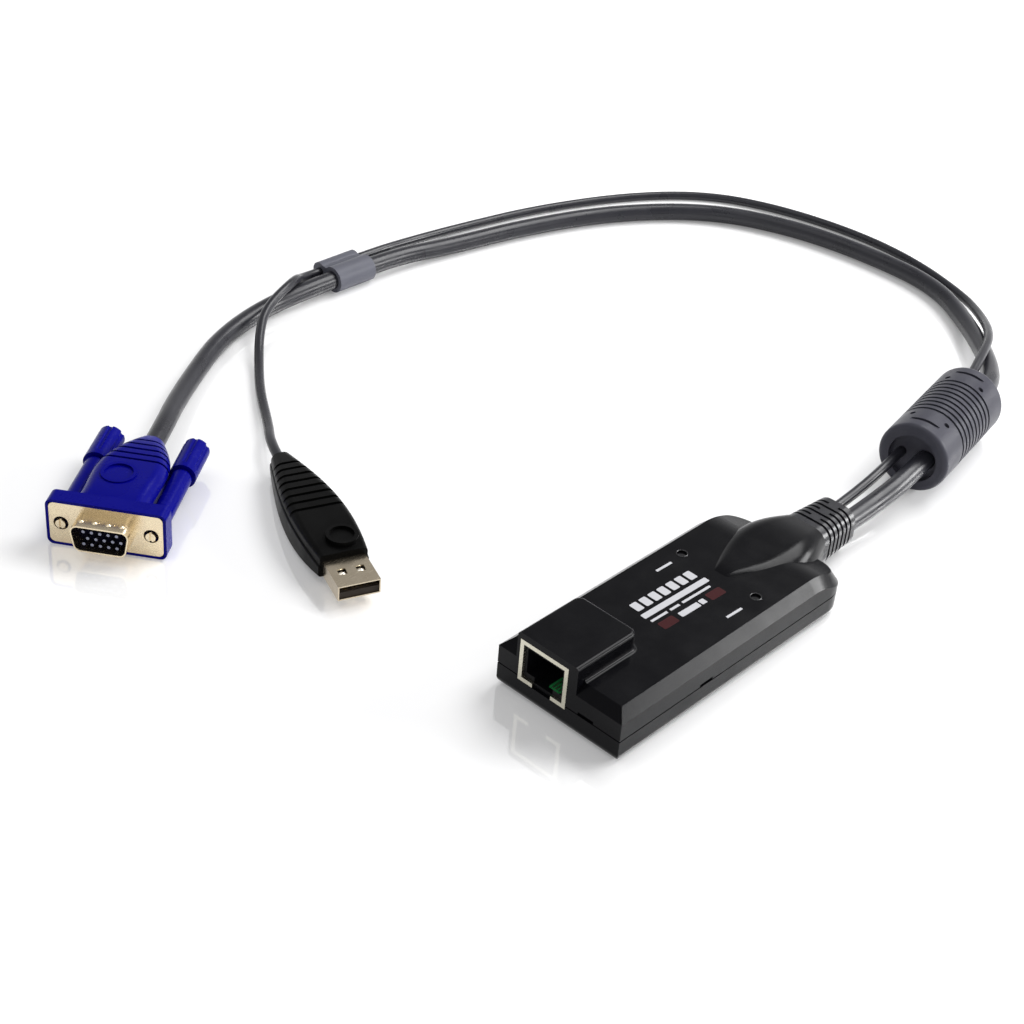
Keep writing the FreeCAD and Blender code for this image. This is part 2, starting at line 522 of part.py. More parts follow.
# ------------------------------------------------------------------------------ network jack
shield_blank = box("shield_blank", JACK["x"], JACK["y"], JACK["z"])
shield_room = box("shield_room", (FRONT + " + shield_face", FRONT + " + jack_length + 1"),
                  (JACK["y"][0] + " + shield_sheet", JACK["y"][1] + " - shield_sheet"),
                  ("board_top - 1", "board_top + jack_height - shield_sheet"))
SOCKET_TOP = "(board_top + jack_height - shield_frame)"
SOCKET_LOW = "(board_top + shield_frame + latch_depth)"
face_window = box("face_window", (FRONT + " - 1", FRONT + " + shield_face + 0.1"),
                  (JACK["y"][0] + " + shield_frame", JACK["y"][1] + " - shield_frame"),
                  ("board_top + shield_frame", SOCKET_TOP))
latch_window = box("latch_window", (FRONT + " - 1", FRONT + " + shield_face + 0.1"),
                   ("jack_centre - latch_width / 2", "jack_centre + latch_width / 2"),
                   ("board_top - 1", SOCKET_LOW))
jack_shield = cut("jack_shield", shield_blank, shield_room, face_window, latch_window)
housing_blank = box("housing_blank", (FRONT + " + shield_face", FRONT + " + jack_length"),
                    (JACK["y"][0] + " + shield_sheet", JACK["y"][1] + " - shield_sheet"),
                    ("board_top", "board_top + jack_height - shield_sheet"))
SOCKET_X = (FRONT + " + shield_face - 1", FRONT + " + shield_face + socket_depth")
socket = box("socket", SOCKET_X, ("jack_centre - socket_width / 2", "jack_centre + socket_width / 2"),
             (SOCKET_LOW, SOCKET_LOW + " + socket_height - 0.6"))
latch_slot = box("latch_slot", SOCKET_X,
                 ("jack_centre - latch_width / 2", "jack_centre + latch_width / 2"),
                 (SOCKET_LOW + " - latch_depth", SOCKET_LOW + " + 1"))
CARRIER_X = (FRONT + " + shield_face + socket_depth - carrier_length",
             FRONT + " + shield_face + socket_depth")
jack_housing = cut("jack_housing", housing_blank, socket, latch_slot)
jack_contact_carrier = box("jack_contact_carrier", CARRIER_X,
                           ("jack_centre - socket_width / 2", "jack_centre + socket_width / 2"),
                           (SOCKET_LOW + " + socket_height - 0.6 - carrier_thickness",
                            SOCKET_LOW + " + socket_height - 0.6"))
jack_contacts = group("jack_contacts", *[
    box("jack_contact_%d" % i, (CARRIER_X[0] + " - jack_contact_length", CARRIER_X[0]),
        ("jack_centre + %s * jack_contact_pitch - jack_contact / 2" % (i - 3.5),
         "jack_centre + %s * jack_contact_pitch + jack_contact / 2" % (i - 3.5)),
        (SOCKET_LOW + " + socket_height - 1.4", SOCKET_LOW + " + socket_height - 1.0"))
    for i in range(8)])

# ------------------------------------------------------------------------------ cord boot
boot_skin, boot_core = body("boot_skin"), body("boot_core")
for owner, cut_in in ((boot_skin, "0"), (boot_core, "2 * boot_groove_depth")):
    loft(owner, owner.Name + "_loft", [
        section(owner, owner.Name + "_root", NECK_END, "boot_root_width - " + cut_in,
                "boot_root_height - " + cut_in, "boot_axis_height",
                "boot_corner_radius - (%s) / 2" % cut_in),
        section(owner, owner.Name + "_tip", NECK_END + " + boot_length", "boot_tip_width - " + cut_in,
                "boot_tip_height - " + cut_in, "boot_axis_height",
                "boot_corner_radius - (%s) / 2" % cut_in)])
BOOT_GROOVE = NECK_END + " + boot_first_groove"
grooves = [box("boot_groove_%d" % i,
               ("%s + %d * boot_pitch" % (BOOT_GROOVE, i),
                "%s + %d * boot_pitch + boot_groove" % (BOOT_GROOVE, i)),
               ("-boot_root_width", "boot_root_width"), ("0", "2 * boot_root_height"))
           for i in range(6)]
bridges = [box("boot_bridge_%d" % i,
               ("%s + %d * boot_pitch - 0.1" % (BOOT_GROOVE, i),
                "%s + %d * boot_pitch + boot_groove + 0.1" % (BOOT_GROOVE, i)),
               ("-boot_bridge / 2", "boot_bridge / 2"), ("-1", "2 * boot_root_height"))
           for i in (1, 3, 5)]
boot_cuts = cut("boot_cuts", fuse("boot_grooves", *grooves), boot_core, *bridges)
boot_plug = box("boot_plug", (NECK_END + " - boot_plug_depth", NECK_END + " + 0.5"),
                ("-neck_passage * 0.65", "neck_passage * 0.65"),
                ("boot_axis_height - neck_passage / 2", "boot_axis_height + neck_passage / 2"))
cord_boot = fuse("cord_boot", cut("boot_ribs", boot_skin, boot_cuts), boot_plug)

# ------------------------------------------------------------------------------ ferrite barrel
def placed(thing, x, y, z, heading):
    """Stands a piece modelled along +X at a place and heading of its own."""
    thing.Placement = Placement(Vector(x, y, value(z)), Rotation(Vector(0, 0, 1), value(heading)))
    return thing


BARREL_PLACE = (104.5, 1.0, "barrel_diameter / 2", "barrel_heading")
cover = body("barrel_cover")
cover_profile = sketch(cover, "cover_profile", "XZ_Plane")
BARREL_R, MOUTH_R = "(barrel_diameter / 2)", "(barrel_mouth / 2)"
WALL_X = "(barrel_mouth_depth + barrel_end_wall)"
polygon(cover_profile, ("0", MOUTH_R), ("0", BARREL_R), ("barrel_length", BARREL_R),
        ("barrel_length", MOUTH_R), ("barrel_length - barrel_mouth_depth", MOUTH_R),
        ("barrel_length - barrel_mouth_depth", "0.2"), ("barrel_length - " + WALL_X, "0.2"),
        ("barrel_length - " + WALL_X, "core_diameter / 2"), (WALL_X, "core_diameter / 2"),
        (WALL_X, "0.2"), ("barrel_mouth_depth", "0.2"), ("barrel_mouth_depth", MOUTH_R))
turned = feature(cover, "Revolution", "turned")
turned.Profile = cover_profile
turned.ReferenceAxis = (cover_profile, ["H_Axis"])
turned.Angle = 360
dress(cover, "Fillet", "cover_edges", turned,
      lambda e: e.Curve.TypeId == "Part::GeomCircle"
      and abs(e.Curve.Radius - value(BARREL_R)) < 1e-6, Radius="barrel_edge_radius")
barrel_cuts = []
for i in range(int(value("barrel_ribs_length / barrel_rib_pitch")) + 1):
    groove_x = "barrel_ribs_start + %d * barrel_rib_pitch" % i
    barrel_cuts.append(cut(
        "barrel_groove_%d" % i,
        rod("barrel_groove_outer_%d" % i, (groove_x, "0", "0"), (1, 0, 0), "barrel_diameter + 2",
            "barrel_rib_groove"),
        rod("barrel_groove_inner_%d" % i, (groove_x, "0", "0"), (1, 0, 0),
            "barrel_diameter - 2 * barrel_rib_depth", "barrel_rib_groove")))
for i, (slot_x, hole_x) in enumerate((
        ("latch_slot_place", "latch_hole_place"),
        ("barrel_length - latch_slot_place - latch_slot", "barrel_length - latch_hole_place"))):
    barrel_cuts.append(box("latch_slot_%d" % i, (slot_x, slot_x + " + latch_slot"),
                           ("-latch_slot_width / 2", "latch_slot_width / 2"),
                           (BARREL_R + " - latch_slot_depth * 1.8", BARREL_R + " + 1")))
    for j, side in enumerate(("-", "")):
        barrel_cuts.append(rod("latch_hole_%d_%d" % (i, j),
                               (hole_x, side + "latch_hole_reach", BARREL_R + " - latch_hole * 1.6"),
                               (0, 0, 1), "latch_hole", "barrel_diameter"))
LANES = (("-video_lane", "video_cord"), ("usb_lane", "usb_cord"))
for i, (lane, cord) in enumerate(LANES):
    barrel_cuts.append(rod("barrel_lane_%d" % i, ("-1", lane, "0"), (1, 0, 0), cord,
                           "barrel_length + 2"))
ferrite_cover = placed(cut("ferrite_cover", cover, *barrel_cuts), *BARREL_PLACE)
ferrite_core = placed(cut("ferrite_core", rod("core_outer", (WALL_X, "0", "0"), (1, 0, 0), "core_diameter",
                                              "barrel_length - 2 * " + WALL_X),
                          rod("core_inner", (WALL_X, "0", "0"), (1, 0, 0), "core_bore",
                              "barrel_length - 2 * " + WALL_X)), *BARREL_PLACE)

# ------------------------------------------------------------------------------ cord clamp
CLAMP_PLACE = (61.2, 199.0, "clamp_axis_height", "clamp_heading")
CLAMP_LANES = (("clamp_spread / 2", "video_cord", "clamp_video_radius"),
               ("-clamp_spread / 2", "usb_cord", "clamp_usb_radius"))
clamp_end = ("-clamp_length / 2", "0")
lobes = [rod("clamp_lobe_%d" % i, (clamp_end[0], lane, "0"), (1, 0, 0), "2 * " + radius, "clamp_length")
         for i, (lane, cord, radius) in enumerate(CLAMP_LANES)]
clamp_web = box("clamp_web", (clamp_end[0], "clamp_length / 2"),
                ("-clamp_spread / 2", "clamp_spread / 2"),
                ("-clamp_usb_radius * 0.86", "clamp_usb_radius * 0.86"))
clamp_bores = [rod("clamp_bore_%d" % i, (clamp_end[0] + " - 1", lane, "0"), (1, 0, 0), cord,
                   "clamp_length + 2") for i, (lane, cord, radius) in enumerate(CLAMP_LANES)]
cord_clamp = placed(cut("cord_clamp", fuse("clamp_form", clamp_web, *lobes), *clamp_bores),
                    *CLAMP_PLACE)

# ------------------------------------------------------------------------------ video plug
# Modelled with its flange face on the YZ plane, facing +X.
VIDEO_PLACE = (-89.55, 128.75, "flange_height / 2 + hood_rim", "214.7")
BAR_W, BAR_H = "(flange_width + 2 * hood_rim)", "(flange_height + 2 * hood_rim)"
bar = body("hood_bar")
bar_section = section(bar, "bar_section", "-hood_bar_depth", BAR_W, BAR_H, "0", "hood_radius")
pad(bar, "bar", bar_section, "hood_bar_depth")
SKIN = [("hood_bar_depth - 1", "hood_width + 0.6", "hood_height", 0.24),
        ("hood_mid", "hood_width", "hood_height", 0.26),
        ("hood_waist", "hood_waist_width", "hood_waist_height", 0.32),
        ("hood_throat", "hood_throat_width", "hood_throat_height", 0.4),
        ("hood_length", "hood_exit_width", "hood_exit_height", 0.45)]


def tapered(name, sections, shrink_wide, shrink_high):
    """A loft through rounded sections standing one behind the other, each shrunk by the same sizes."""
    owner = body(name)
    loft(owner, name + "_loft", [
        section(owner, "%s_section_%d" % (name, i), "-(%s)" % back, width + shrink_wide,
                high + shrink_high, "0", "(%s%s) * %s" % (high, shrink_high, round_part))
        for i, (back, width, high, round_part) in enumerate(sections)])
    return owner


skin = tapered("hood_skin", SKIN, "", "")
hood_core = tapered("hood_core", SKIN, " - 2 * hood_rib_depth", " - 2 * hood_rib_depth")
rib_cuts = [box("hood_groove_%d" % i,
                ("-hood_ribs_start - %d * hood_rib_pitch - hood_rib_groove" % i,
                 "-hood_ribs_start - %d * hood_rib_pitch" % i), ("-hood_width", "hood_width"),
                ("-hood_height", "hood_height")) for i in range(5)]
hood_ribs = cut("hood_rib_cuts", fuse("hood_rib_boxes", *rib_cuts), hood_core)
SCREW_YS = (("left", "jackscrew_spread / 2"), ("right", "-jackscrew_spread / 2"))
SCREW_BORE = "jackscrew_diameter + 2 * jackscrew_clearance"
hood_bores, flange_holes, channels = [], [], []
for hand, y in SCREW_YS:
    hood_bores += [
        rod("hood_bore_" + hand, ("-hood_bar_depth - 1", y, "0"), (1, 0, 0), SCREW_BORE,
            "hood_bar_depth + 2"),
        rod("collar_room_" + hand, ("-collar_place - collar_length - collar_gap", y, "0"), (1, 0, 0),
            "collar_diameter + 2 * collar_gap", "collar_place + collar_length + collar_gap + 1")]
    channels.append(rod("hood_channel_" + hand, ("-hood_length - 1", y, "0"), (1, 0, 0),
                        "grip_diameter + 2 * channel_gap", "hood_length + 1 - hood_bar_depth"))
    flange_holes.append(rod("flange_hole_" + hand, ("-flange_sheet - 1", y, "0"), (1, 0, 0),
                            "jackscrew_hole", "flange_sheet + 2"))
flange_blank = body("flange_blank")
pad(flange_blank, "flange", section(flange_blank, "flange_section", "-flange_sheet", "flange_width",
                                    "flange_height", "0", "flange_radius"), "flange_sheet")


def d_profile(owner, name, x, grow):
    """The D outline of the plug's shell, wide side up, grown by an expression."""
    half_high = "(plug_shell_height / 2 + (%s))" % grow
    wide = "(plug_shell_width / 2 + (%s))" % grow
    narrow = "(%s - 2 * %s * tan(plug_shell_lean * 1deg))" % (wide, half_high)
    return polygon(sketch(owner, name, "YZ_Plane", x), ("-" + narrow, "-" + half_high),
                   (narrow, "-" + half_high), (wide, half_high), ("-" + wide, half_high))


def d_prism(name, x, grow, length, radius):
    owner = body(name)
    blank = pad(owner, name + "_pad", d_profile(owner, name + "_outline", x, grow), length)
    dress(owner, "Fillet", name + "_corners", blank, lambda e: straight(e, (1, 0, 0)), Radius=radius)
    return owner


SHEET = "plug_shell_sheet"
d_outer = d_prism("d_outer", "-0.1", "0", "plug_shell_depth + 0.1", "plug_shell_radius")
d_inner = d_prism("d_inner", "-flange_sheet - 1", "-" + SHEET, "plug_shell_depth + flange_sheet + 2",
                  "plug_shell_radius - " + SHEET)
dimples = [rod("dimple_%d" % i, ("plug_shell_depth * 0.55", "%d * plug_shell_width / 4" % i,
                                 "plug_shell_height / 2 - 0.15"), (0, 0, 1), "1.5", "0.6")
           for i in (-1, 0, 1)]
video_plug_shell = placed(cut("video_plug_shell", fuse("shell_form", flange_blank, d_outer), d_inner,
                              *(flange_holes + dimples)), *VIDEO_PLACE)
video_plug_insulator = placed(d_prism("video_plug_insulator", "-insulator_depth", "-" + SHEET,
                                      "insulator_depth + insulator_rise",
                                      "plug_shell_radius - " + SHEET), *VIDEO_PLACE)
insulator_room = d_prism("insulator_room", "-insulator_depth", "-" + SHEET,
                         "insulator_depth + 1", "plug_shell_radius - " + SHEET)
flange_seat = box("flange_seat", ("-flange_sheet", "1"), ("-flange_width / 2", "flange_width / 2"),
                  ("-flange_height / 2", "flange_height / 2"))
BADGE = ("-hood_badge_place", "-hood_badge_shift")
hood_badge = cut("hood_badge_ring",
                 rod("hood_badge_outer", BADGE + ("0",), (0, 0, 1), "hood_badge",
                     "hood_height / 2 + hood_badge_rise"),
                 rod("hood_badge_inner", BADGE + ("-1",), (0, 0, 1), "hood_badge - 2 * hood_badge_band",
                     "hood_height"))
hood_form = fuse("hood_form", cut("ribbed_hood", skin, hood_ribs, *channels), bar, hood_badge)
video_plug_hood = placed(cut("video_plug_hood", hood_form, flange_seat, insulator_room, *hood_bores),
                         *VIDEO_PLACE)
video_plug_pins = placed(group("video_plug_pins", *[
    rod("pin_%d_%d" % (row, i), ("insulator_rise",
                                 "%s * pin_pitch" % (i - 2 + (0.5 if row == 0 else 0)),
                                 "%d * pin_row_pitch" % row), (1, 0, 0), "pin_diameter",
        "pin_length - insulator_rise") for row in (1, 0, -1) for i in range(5)]), *VIDEO_PLACE)

# Thumbscrews: a steel screw with a collar behind the flange, and a moulded fluted grip on it.
for hand, y in SCREW_YS:
    axis = lambda x: (x, y, "0")
    grip_x = "-hood_bar_depth - grip_gap - shank_length"
    screw = fuse("thumbscrew_%s_screw" % hand,
                 rod("screw_rod_" + hand, axis(grip_x + " - grip_length + 2"), (1, 0, 0),
                     "jackscrew_diameter",
                     "hood_bar_depth + grip_gap + shank_length + grip_length - 2 + jackscrew_tip"),
                 rod("screw_collar_" + hand, axis("-collar_place - collar_length"), (1, 0, 0),
                     "collar_diameter", "collar_length"))
    slot = box("screw_slot_" + hand, ("jackscrew_tip - 0.5", "jackscrew_tip + 1"),
               (y + " - 0.3", y + " + 0.3"), ("-jackscrew_diameter", "jackscrew_diameter"))
    screw = cut("slotted_screw_" + hand, screw, slot)
    screw.Label = "thumbscrew_%s_driver" % hand
    placed(screw, *VIDEO_PLACE)
    flutes = [rod("flute_%s_%d" % (hand, i),
                  (grip_x + " - grip_length - 1",
                   "%s + %.6f * (grip_diameter / 2 + grip_flute * 0.25)"
                   % (y, math.cos(math.radians(60 * i + 30))),
                   "%.6f * (grip_diameter / 2 + grip_flute * 0.25)" % math.sin(math.radians(60 * i + 30))),
                  (1, 0, 0), "grip_flute", "grip_length - grip_neck") for i in range(6)]
    neck_ring = cut("grip_neck_" + hand,
                    rod("grip_neck_outer_" + hand, axis(grip_x), (1, 0, 0), "grip_diameter + 1",
                        "grip_neck"),
                    rod("grip_neck_inner_" + hand, axis(grip_x), (1, 0, 0),
                        "shank_diameter - grip_neck_depth", "grip_neck"))
    grip = cut("thumbscrew_%s_grip" % hand,
               fuse("grip_form_" + hand,
                    rod("grip_knob_" + hand, axis(grip_x + " - grip_length"), (1, 0, 0),
                        "grip_diameter", "grip_length"),
                    rod("grip_shank_" + hand, axis(grip_x + " - 0.1"), (1, 0, 0), "shank_diameter",
                        "shank_length + 0.1")),
               neck_ring,
               rod("grip_bore_" + hand, axis(grip_x + " - grip_length + 2"), (1, 0, 0),
                   "jackscrew_diameter", "grip_length + shank_length"), *flutes)
    placed(grip, *VIDEO_PLACE)

# ------------------------------------------------------------------------------ USB plug
# Modelled with the open end of its shell on the YZ plane, facing +X.
USB_PLACE = (-54.65, 66.5, "usb_axis_height", "-112.3")
ROOT_X = "-usb_shell_length"
USB_SKIN = [("0", "usb_nose_width", "usb_nose_height", "usb_nose_lift", "1.2"),
            ("usb_shoulder", "usb_shoulder_width", "usb_shoulder_height", "usb_shoulder_lift", "1.5"),
            ("usb_waist", "usb_waist_width", "usb_waist_height", "0", "2.2"),
            ("usb_throat", "usb_throat_width", "usb_throat_height", "0", "2.8"),
            ("usb_hood_length", "usb_tail_width", "usb_tail_height", "0", "2.4")]


def usb_form(name, wide="", high="", middle="", radius="corner"):
    """The hood's tapered form with its sections' sizes and middles moved by expressions."""
    owner = body(name)
    loft(owner, name + "_loft", [
        section(owner, "%s_section_%d" % (name, i), "%s - %s" % (ROOT_X, back), width + wide,
                height + high, lift + middle, radius.replace("corner", corner))
        for i, (back, width, height, lift, corner) in enumerate(USB_SKIN)])
    return owner


usb_skin = usb_form("usb_skin")
usb_core = usb_form("usb_core", " + 0.1", " - 2 * usb_rib_depth", "", "corner - usb_rib_depth / 2")
usb_ledge = usb_form("usb_ledge_form", " + usb_ledge", " - usb_ledge_height",
                     " - usb_ledge_height / 2", "usb_ledge")
usb_cuts = [box("usb_groove_%d" % i,
                (ROOT_X + " - usb_ribs_start - %d * usb_rib_pitch - usb_rib_groove" % i,
                 ROOT_X + " - usb_ribs_start - %d * usb_rib_pitch" % i),
                ("-usb_waist_width", "usb_waist_width"), ("-usb_waist_height", "usb_waist_height"))
            for i in range(8)]
usb_ribs = cut("usb_rib_cuts", fuse("usb_rib_boxes", *usb_cuts), usb_core)
usb_room = box("usb_room", (ROOT_X + " - usb_shell_root", ROOT_X + " + 1"),
               ("-usb_shell_width / 2", "usb_shell_width / 2"),
               ("-usb_shell_height / 2", "usb_shell_height / 2"))
USB_BADGE = (ROOT_X + " - usb_badge_place", "usb_badge_shift")
usb_badge = cut("usb_badge_ring",
                rod("usb_badge_outer", USB_BADGE + ("0",), (0, 0, 1), "usb_badge",
                    "usb_shoulder_height / 2 + usb_badge_rise"),
                rod("usb_badge_inner", USB_BADGE + ("usb_shoulder_height / 2 + usb_badge_rise / 3",),
                    (0, 0, 1), "usb_badge - 2 * usb_badge_band", "usb_shoulder_height"))
usb_plug_hood = placed(cut("usb_plug_hood", fuse("usb_form", cut("usb_ribbed", usb_skin, usb_ribs),
                                                 usb_ledge, usb_badge), usb_room), *USB_PLACE)
shell_outer = box("usb_shell_outer", (ROOT_X + " - usb_shell_root", "0"),
                  ("-usb_shell_width / 2", "usb_shell_width / 2"),
                  ("-usb_shell_height / 2", "usb_shell_height / 2"))
shell_inner = box("usb_shell_inner", (ROOT_X + " - usb_shell_root - 1", "1"),
                  ("-usb_shell_width / 2 + usb_shell_sheet", "usb_shell_width / 2 - usb_shell_sheet"),
                  ("-usb_shell_height / 2 + usb_shell_sheet", "usb_shell_height / 2 - usb_shell_sheet"))
windows = [box("usb_window_%d" % i, ("-usb_window_place - usb_window", "-usb_window_place"),
               ("%s * usb_window_spread / 2 - usb_window / 2" % side,
                "%s * usb_window_spread / 2 + usb_window / 2" % side),
               ("-usb_shell_height", "usb_shell_height")) for i, side in enumerate((-1, 1))]
usb_plug_shell = placed(cut("usb_plug_shell", shell_outer, shell_inner, *windows), *USB_PLACE)
TONGUE_LOW = "(-usb_shell_height / 2 + usb_shell_sheet)"
usb_plug_insulator = placed(group("usb_plug_insulator", box(
    "usb_tongue_block", (ROOT_X + " - usb_shell_root", "-usb_tongue_recess"),
    ("-usb_shell_width / 2 + usb_shell_sheet", "usb_shell_width / 2 - usb_shell_sheet"),
    (TONGUE_LOW, TONGUE_LOW + " + usb_tongue"))), *USB_PLACE)
usb_plug_contacts = placed(group("usb_plug_contacts", *[
    box("usb_contact_%d" % i, ("-usb_tongue_recess - usb_contact_recess - usb_contact_length",
                                 "-usb_tongue_recess - usb_contact_recess"),
        ("%s - usb_contact_width / 2" % y, "%s + usb_contact_width / 2" % y),
        (TONGUE_LOW + " + usb_tongue", TONGUE_LOW + " + usb_tongue + usb_contact_sheet"))
    for i, y in enumerate(("-3.5", "-1", "1", "3.5"))]), *USB_PLACE)

# ------------------------------------------------------------------------------ cords
# Each route runs from the boot through the barrel and the clamp to its plug.
VIDEO_ROUTE = [
    (66.0, -3.0, 7.5), (77.0, -3.1, 7.7), (96.83, -3.84, 10.95), (155.47, 6.71, 10.95),
    (175.0, 15.3, 7.4), (197.0, 42.3, 3.05), (209.8, 65.2, 3.05), (213.5, 93.0, 3.05),
    (208.5, 122.5, 3.05), (195.0, 149.5, 3.05), (167.0, 170.5, 3.05), (133.0, 183.3, 3.05),
    (100.0, 190.4, 3.1), (80.19, 194.68, 4.4), (42.22, 196.47, 4.4), (23.5, 197.6, 3.05),
    (2.0, 191.8, 3.05), (-17.5, 180.4, 3.4), (-34.5, 168.4, 5.4), (-46.0, 158.9, 7.3),
    (-55.84, 152.09, 7.3)]
USB_ROUTE = [
    (66.0, 3.4, 7.5), (77.0, 3.5, 7.8), (95.5, 3.61, 10.95), (154.12, 14.17, 10.95),
    (172.0, 19.4, 11.2), (190.0, 27.5, 10.6), (206.0, 39.0, 4.6), (217.0, 55.5, 1.55),
    (224.8, 80.0, 1.55), (225.5, 107.0, 1.55), (218.8, 137.5, 1.55), (206.5, 160.5, 1.55),
    (183.0, 178.0, 1.55), (149.0, 192.0, 1.55), (117.0, 199.5, 1.55), (96.0, 202.4, 2.2),
    (78.2, 201.6, 4.4), (45.95, 203.12, 4.4), (34.5, 200.0, 8.8), (23.0, 192.2, 8.7),
    (12.0, 183.6, 4.6), (3.4, 175.6, 1.8), (-6.7, 162.4, 1.55), (-17.4, 146.2, 2.3),
    (-26.9, 134.1, 5.3), (-30.37, 125.71, 5.3)]
ARC_SHARE = 0.45


def cord_path(points):
    """Straight runs joined by tangent arcs; returns the wire and the radius of each arc."""
    points = [Vector(*p) for p in points]
    edges, radii, last = [], [], points[0]
    for before, corner, after in zip(points, points[1:], points[2:]):
        back, ahead = before - corner, after - corner
        reach = ARC_SHARE * min(back.Length, ahead.Length)
        back.normalize()
        ahead.normalize()
        turn = math.pi - back.getAngle(ahead)
        radius = reach / math.tan(turn / 2)
        start, end = corner + back * reach, corner + ahead * reach
        bisector = (back + ahead).normalize()
        middle = corner + bisector * (radius / math.cos(turn / 2) - radius)
        edges += [Part.LineSegment(last, start).toShape(), Part.Arc(start, middle, end).toShape()]
        radii.append(radius)
        last = end
    edges.append(Part.LineSegment(last, points[-1]).toShape())
    return Part.Wire(edges), radii


for name, route, diameter in (("video_cord_tube", VIDEO_ROUTE, "video_cord"),
                              ("usb_cord_tube", USB_ROUTE, "usb_cord")):
    wire, radii = cord_path(route)
    size = value(diameter)
    disc = Part.Face(Part.Wire(Part.makeCircle(size / 2, Vector(*route[0]),
                                               Vector(*route[1]) - Vector(*route[0]))))
    tube = doc.addObject("Part::Feature", name)
    tube.Shape = Part.Wire(wire).makePipe(disc)
    tube.Placement = Placement()
    expected = wire.Length * math.pi * size ** 2 / 4
    print("%s: length %.1f, radii %s, smallest %.1f diameters, volume off by %.3f%%" % (
        name, wire.Length, " ".join("%.0f" % r for r in radii), min(radii) / size,
        100 * (tube.Shape.Volume / expected - 1)))

# ------------------------------------------------------------------------------ check and write
NODES = [
    "upper_shell", "lower_shell", "circuit_board", "main_chip", "network_magnetics", "crystal",
    "video_cord_header", "usb_cord_header", "capacitors", "online_lamp", "power_lamp", "case_screws",
    "jack_shield", "jack_housing", "jack_contact_carrier", "jack_contacts", "cord_boot",
    "video_cord_tube", "usb_cord_tube", "ferrite_core", "ferrite_cover", "cord_clamp",
    "video_plug_hood", "video_plug_shell", "video_plug_insulator", "video_plug_pins",
    "thumbscrew_left_driver", "thumbscrew_left_grip", "thumbscrew_right_driver",
    "thumbscrew_right_grip", "usb_plug_hood", "usb_plug_shell", "usb_plug_insulator",
    "usb_plug_contacts",
]
doc.recompute()
for thing in doc.Objects:
    if {"Invalid", "Error"} & set(thing.State):
        raise RuntimeError("%s did not build: %s" % (thing.Name, thing.getStatusString()))
os.makedirs("parts", exist_ok=True)
for name in NODES:
    found = doc.getObjectsByLabel(name)
    if len(found) != 1:
        raise RuntimeError("no single object is labelled " + name)
    shape = found[0].Shape
    if shape.isNull() or not shape.isValid() or not shape.Solids:
        raise RuntimeError(name + " has no valid solid")
    shape.exportStep("parts/%s.step" % name)
    b = shape.BoundBox
    print("%-24s %2d solid(s) %9.1f mm3  x %.1f..%.1f  y %.1f..%.1f  z %.2f..%.2f" % (
        name, len(shape.Solids), shape.Volume, b.XMin, b.XMax, b.YMin, b.YMax, b.ZMin, b.ZMax))
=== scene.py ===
# %% [markdown]
# # A KVM dongle on a studio table
# The object is a small network adapter for a computer rack: a black case with a network jack, a thick
# video cord and a thin USB cord, a ferrite barrel, a clamp, and two plugs. The solid shapes come ready
# made from CAD. This lesson gives them their surfaces, lays the cords, and lights the table.

# %% Load the solid model
import math

import bmesh
import bpy
from mathutils import Matrix, Vector


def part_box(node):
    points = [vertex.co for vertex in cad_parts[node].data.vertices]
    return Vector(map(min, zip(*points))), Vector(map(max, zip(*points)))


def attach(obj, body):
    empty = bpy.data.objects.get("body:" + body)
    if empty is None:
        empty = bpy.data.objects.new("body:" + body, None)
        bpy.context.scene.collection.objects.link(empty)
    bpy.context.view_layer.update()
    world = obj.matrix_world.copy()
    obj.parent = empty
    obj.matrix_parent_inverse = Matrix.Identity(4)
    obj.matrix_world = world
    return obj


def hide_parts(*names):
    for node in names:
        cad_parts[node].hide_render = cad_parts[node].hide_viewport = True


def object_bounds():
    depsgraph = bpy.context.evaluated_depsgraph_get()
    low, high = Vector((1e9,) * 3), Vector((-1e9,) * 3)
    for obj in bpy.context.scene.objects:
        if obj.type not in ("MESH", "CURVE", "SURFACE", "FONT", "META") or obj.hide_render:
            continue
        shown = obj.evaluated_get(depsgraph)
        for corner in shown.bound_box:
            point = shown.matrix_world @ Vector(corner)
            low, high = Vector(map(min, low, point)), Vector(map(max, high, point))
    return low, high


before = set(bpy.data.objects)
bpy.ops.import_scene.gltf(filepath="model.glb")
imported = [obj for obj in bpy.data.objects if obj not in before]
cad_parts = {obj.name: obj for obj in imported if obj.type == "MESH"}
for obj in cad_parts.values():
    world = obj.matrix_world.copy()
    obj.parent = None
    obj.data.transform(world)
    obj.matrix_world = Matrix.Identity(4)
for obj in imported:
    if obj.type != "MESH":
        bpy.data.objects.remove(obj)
cad_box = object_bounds()
MM = 0.001

# %% [markdown]
# ## Camera
# A catalogue picture of such an object is taken with a short telephoto lens from above the table, so that
# the near plug and the far bend of the cord keep their true proportions. A 72 mm lens half a metre away
# does that. The camera is turned a few degrees about its own axis, as a hand-levelled one often is.

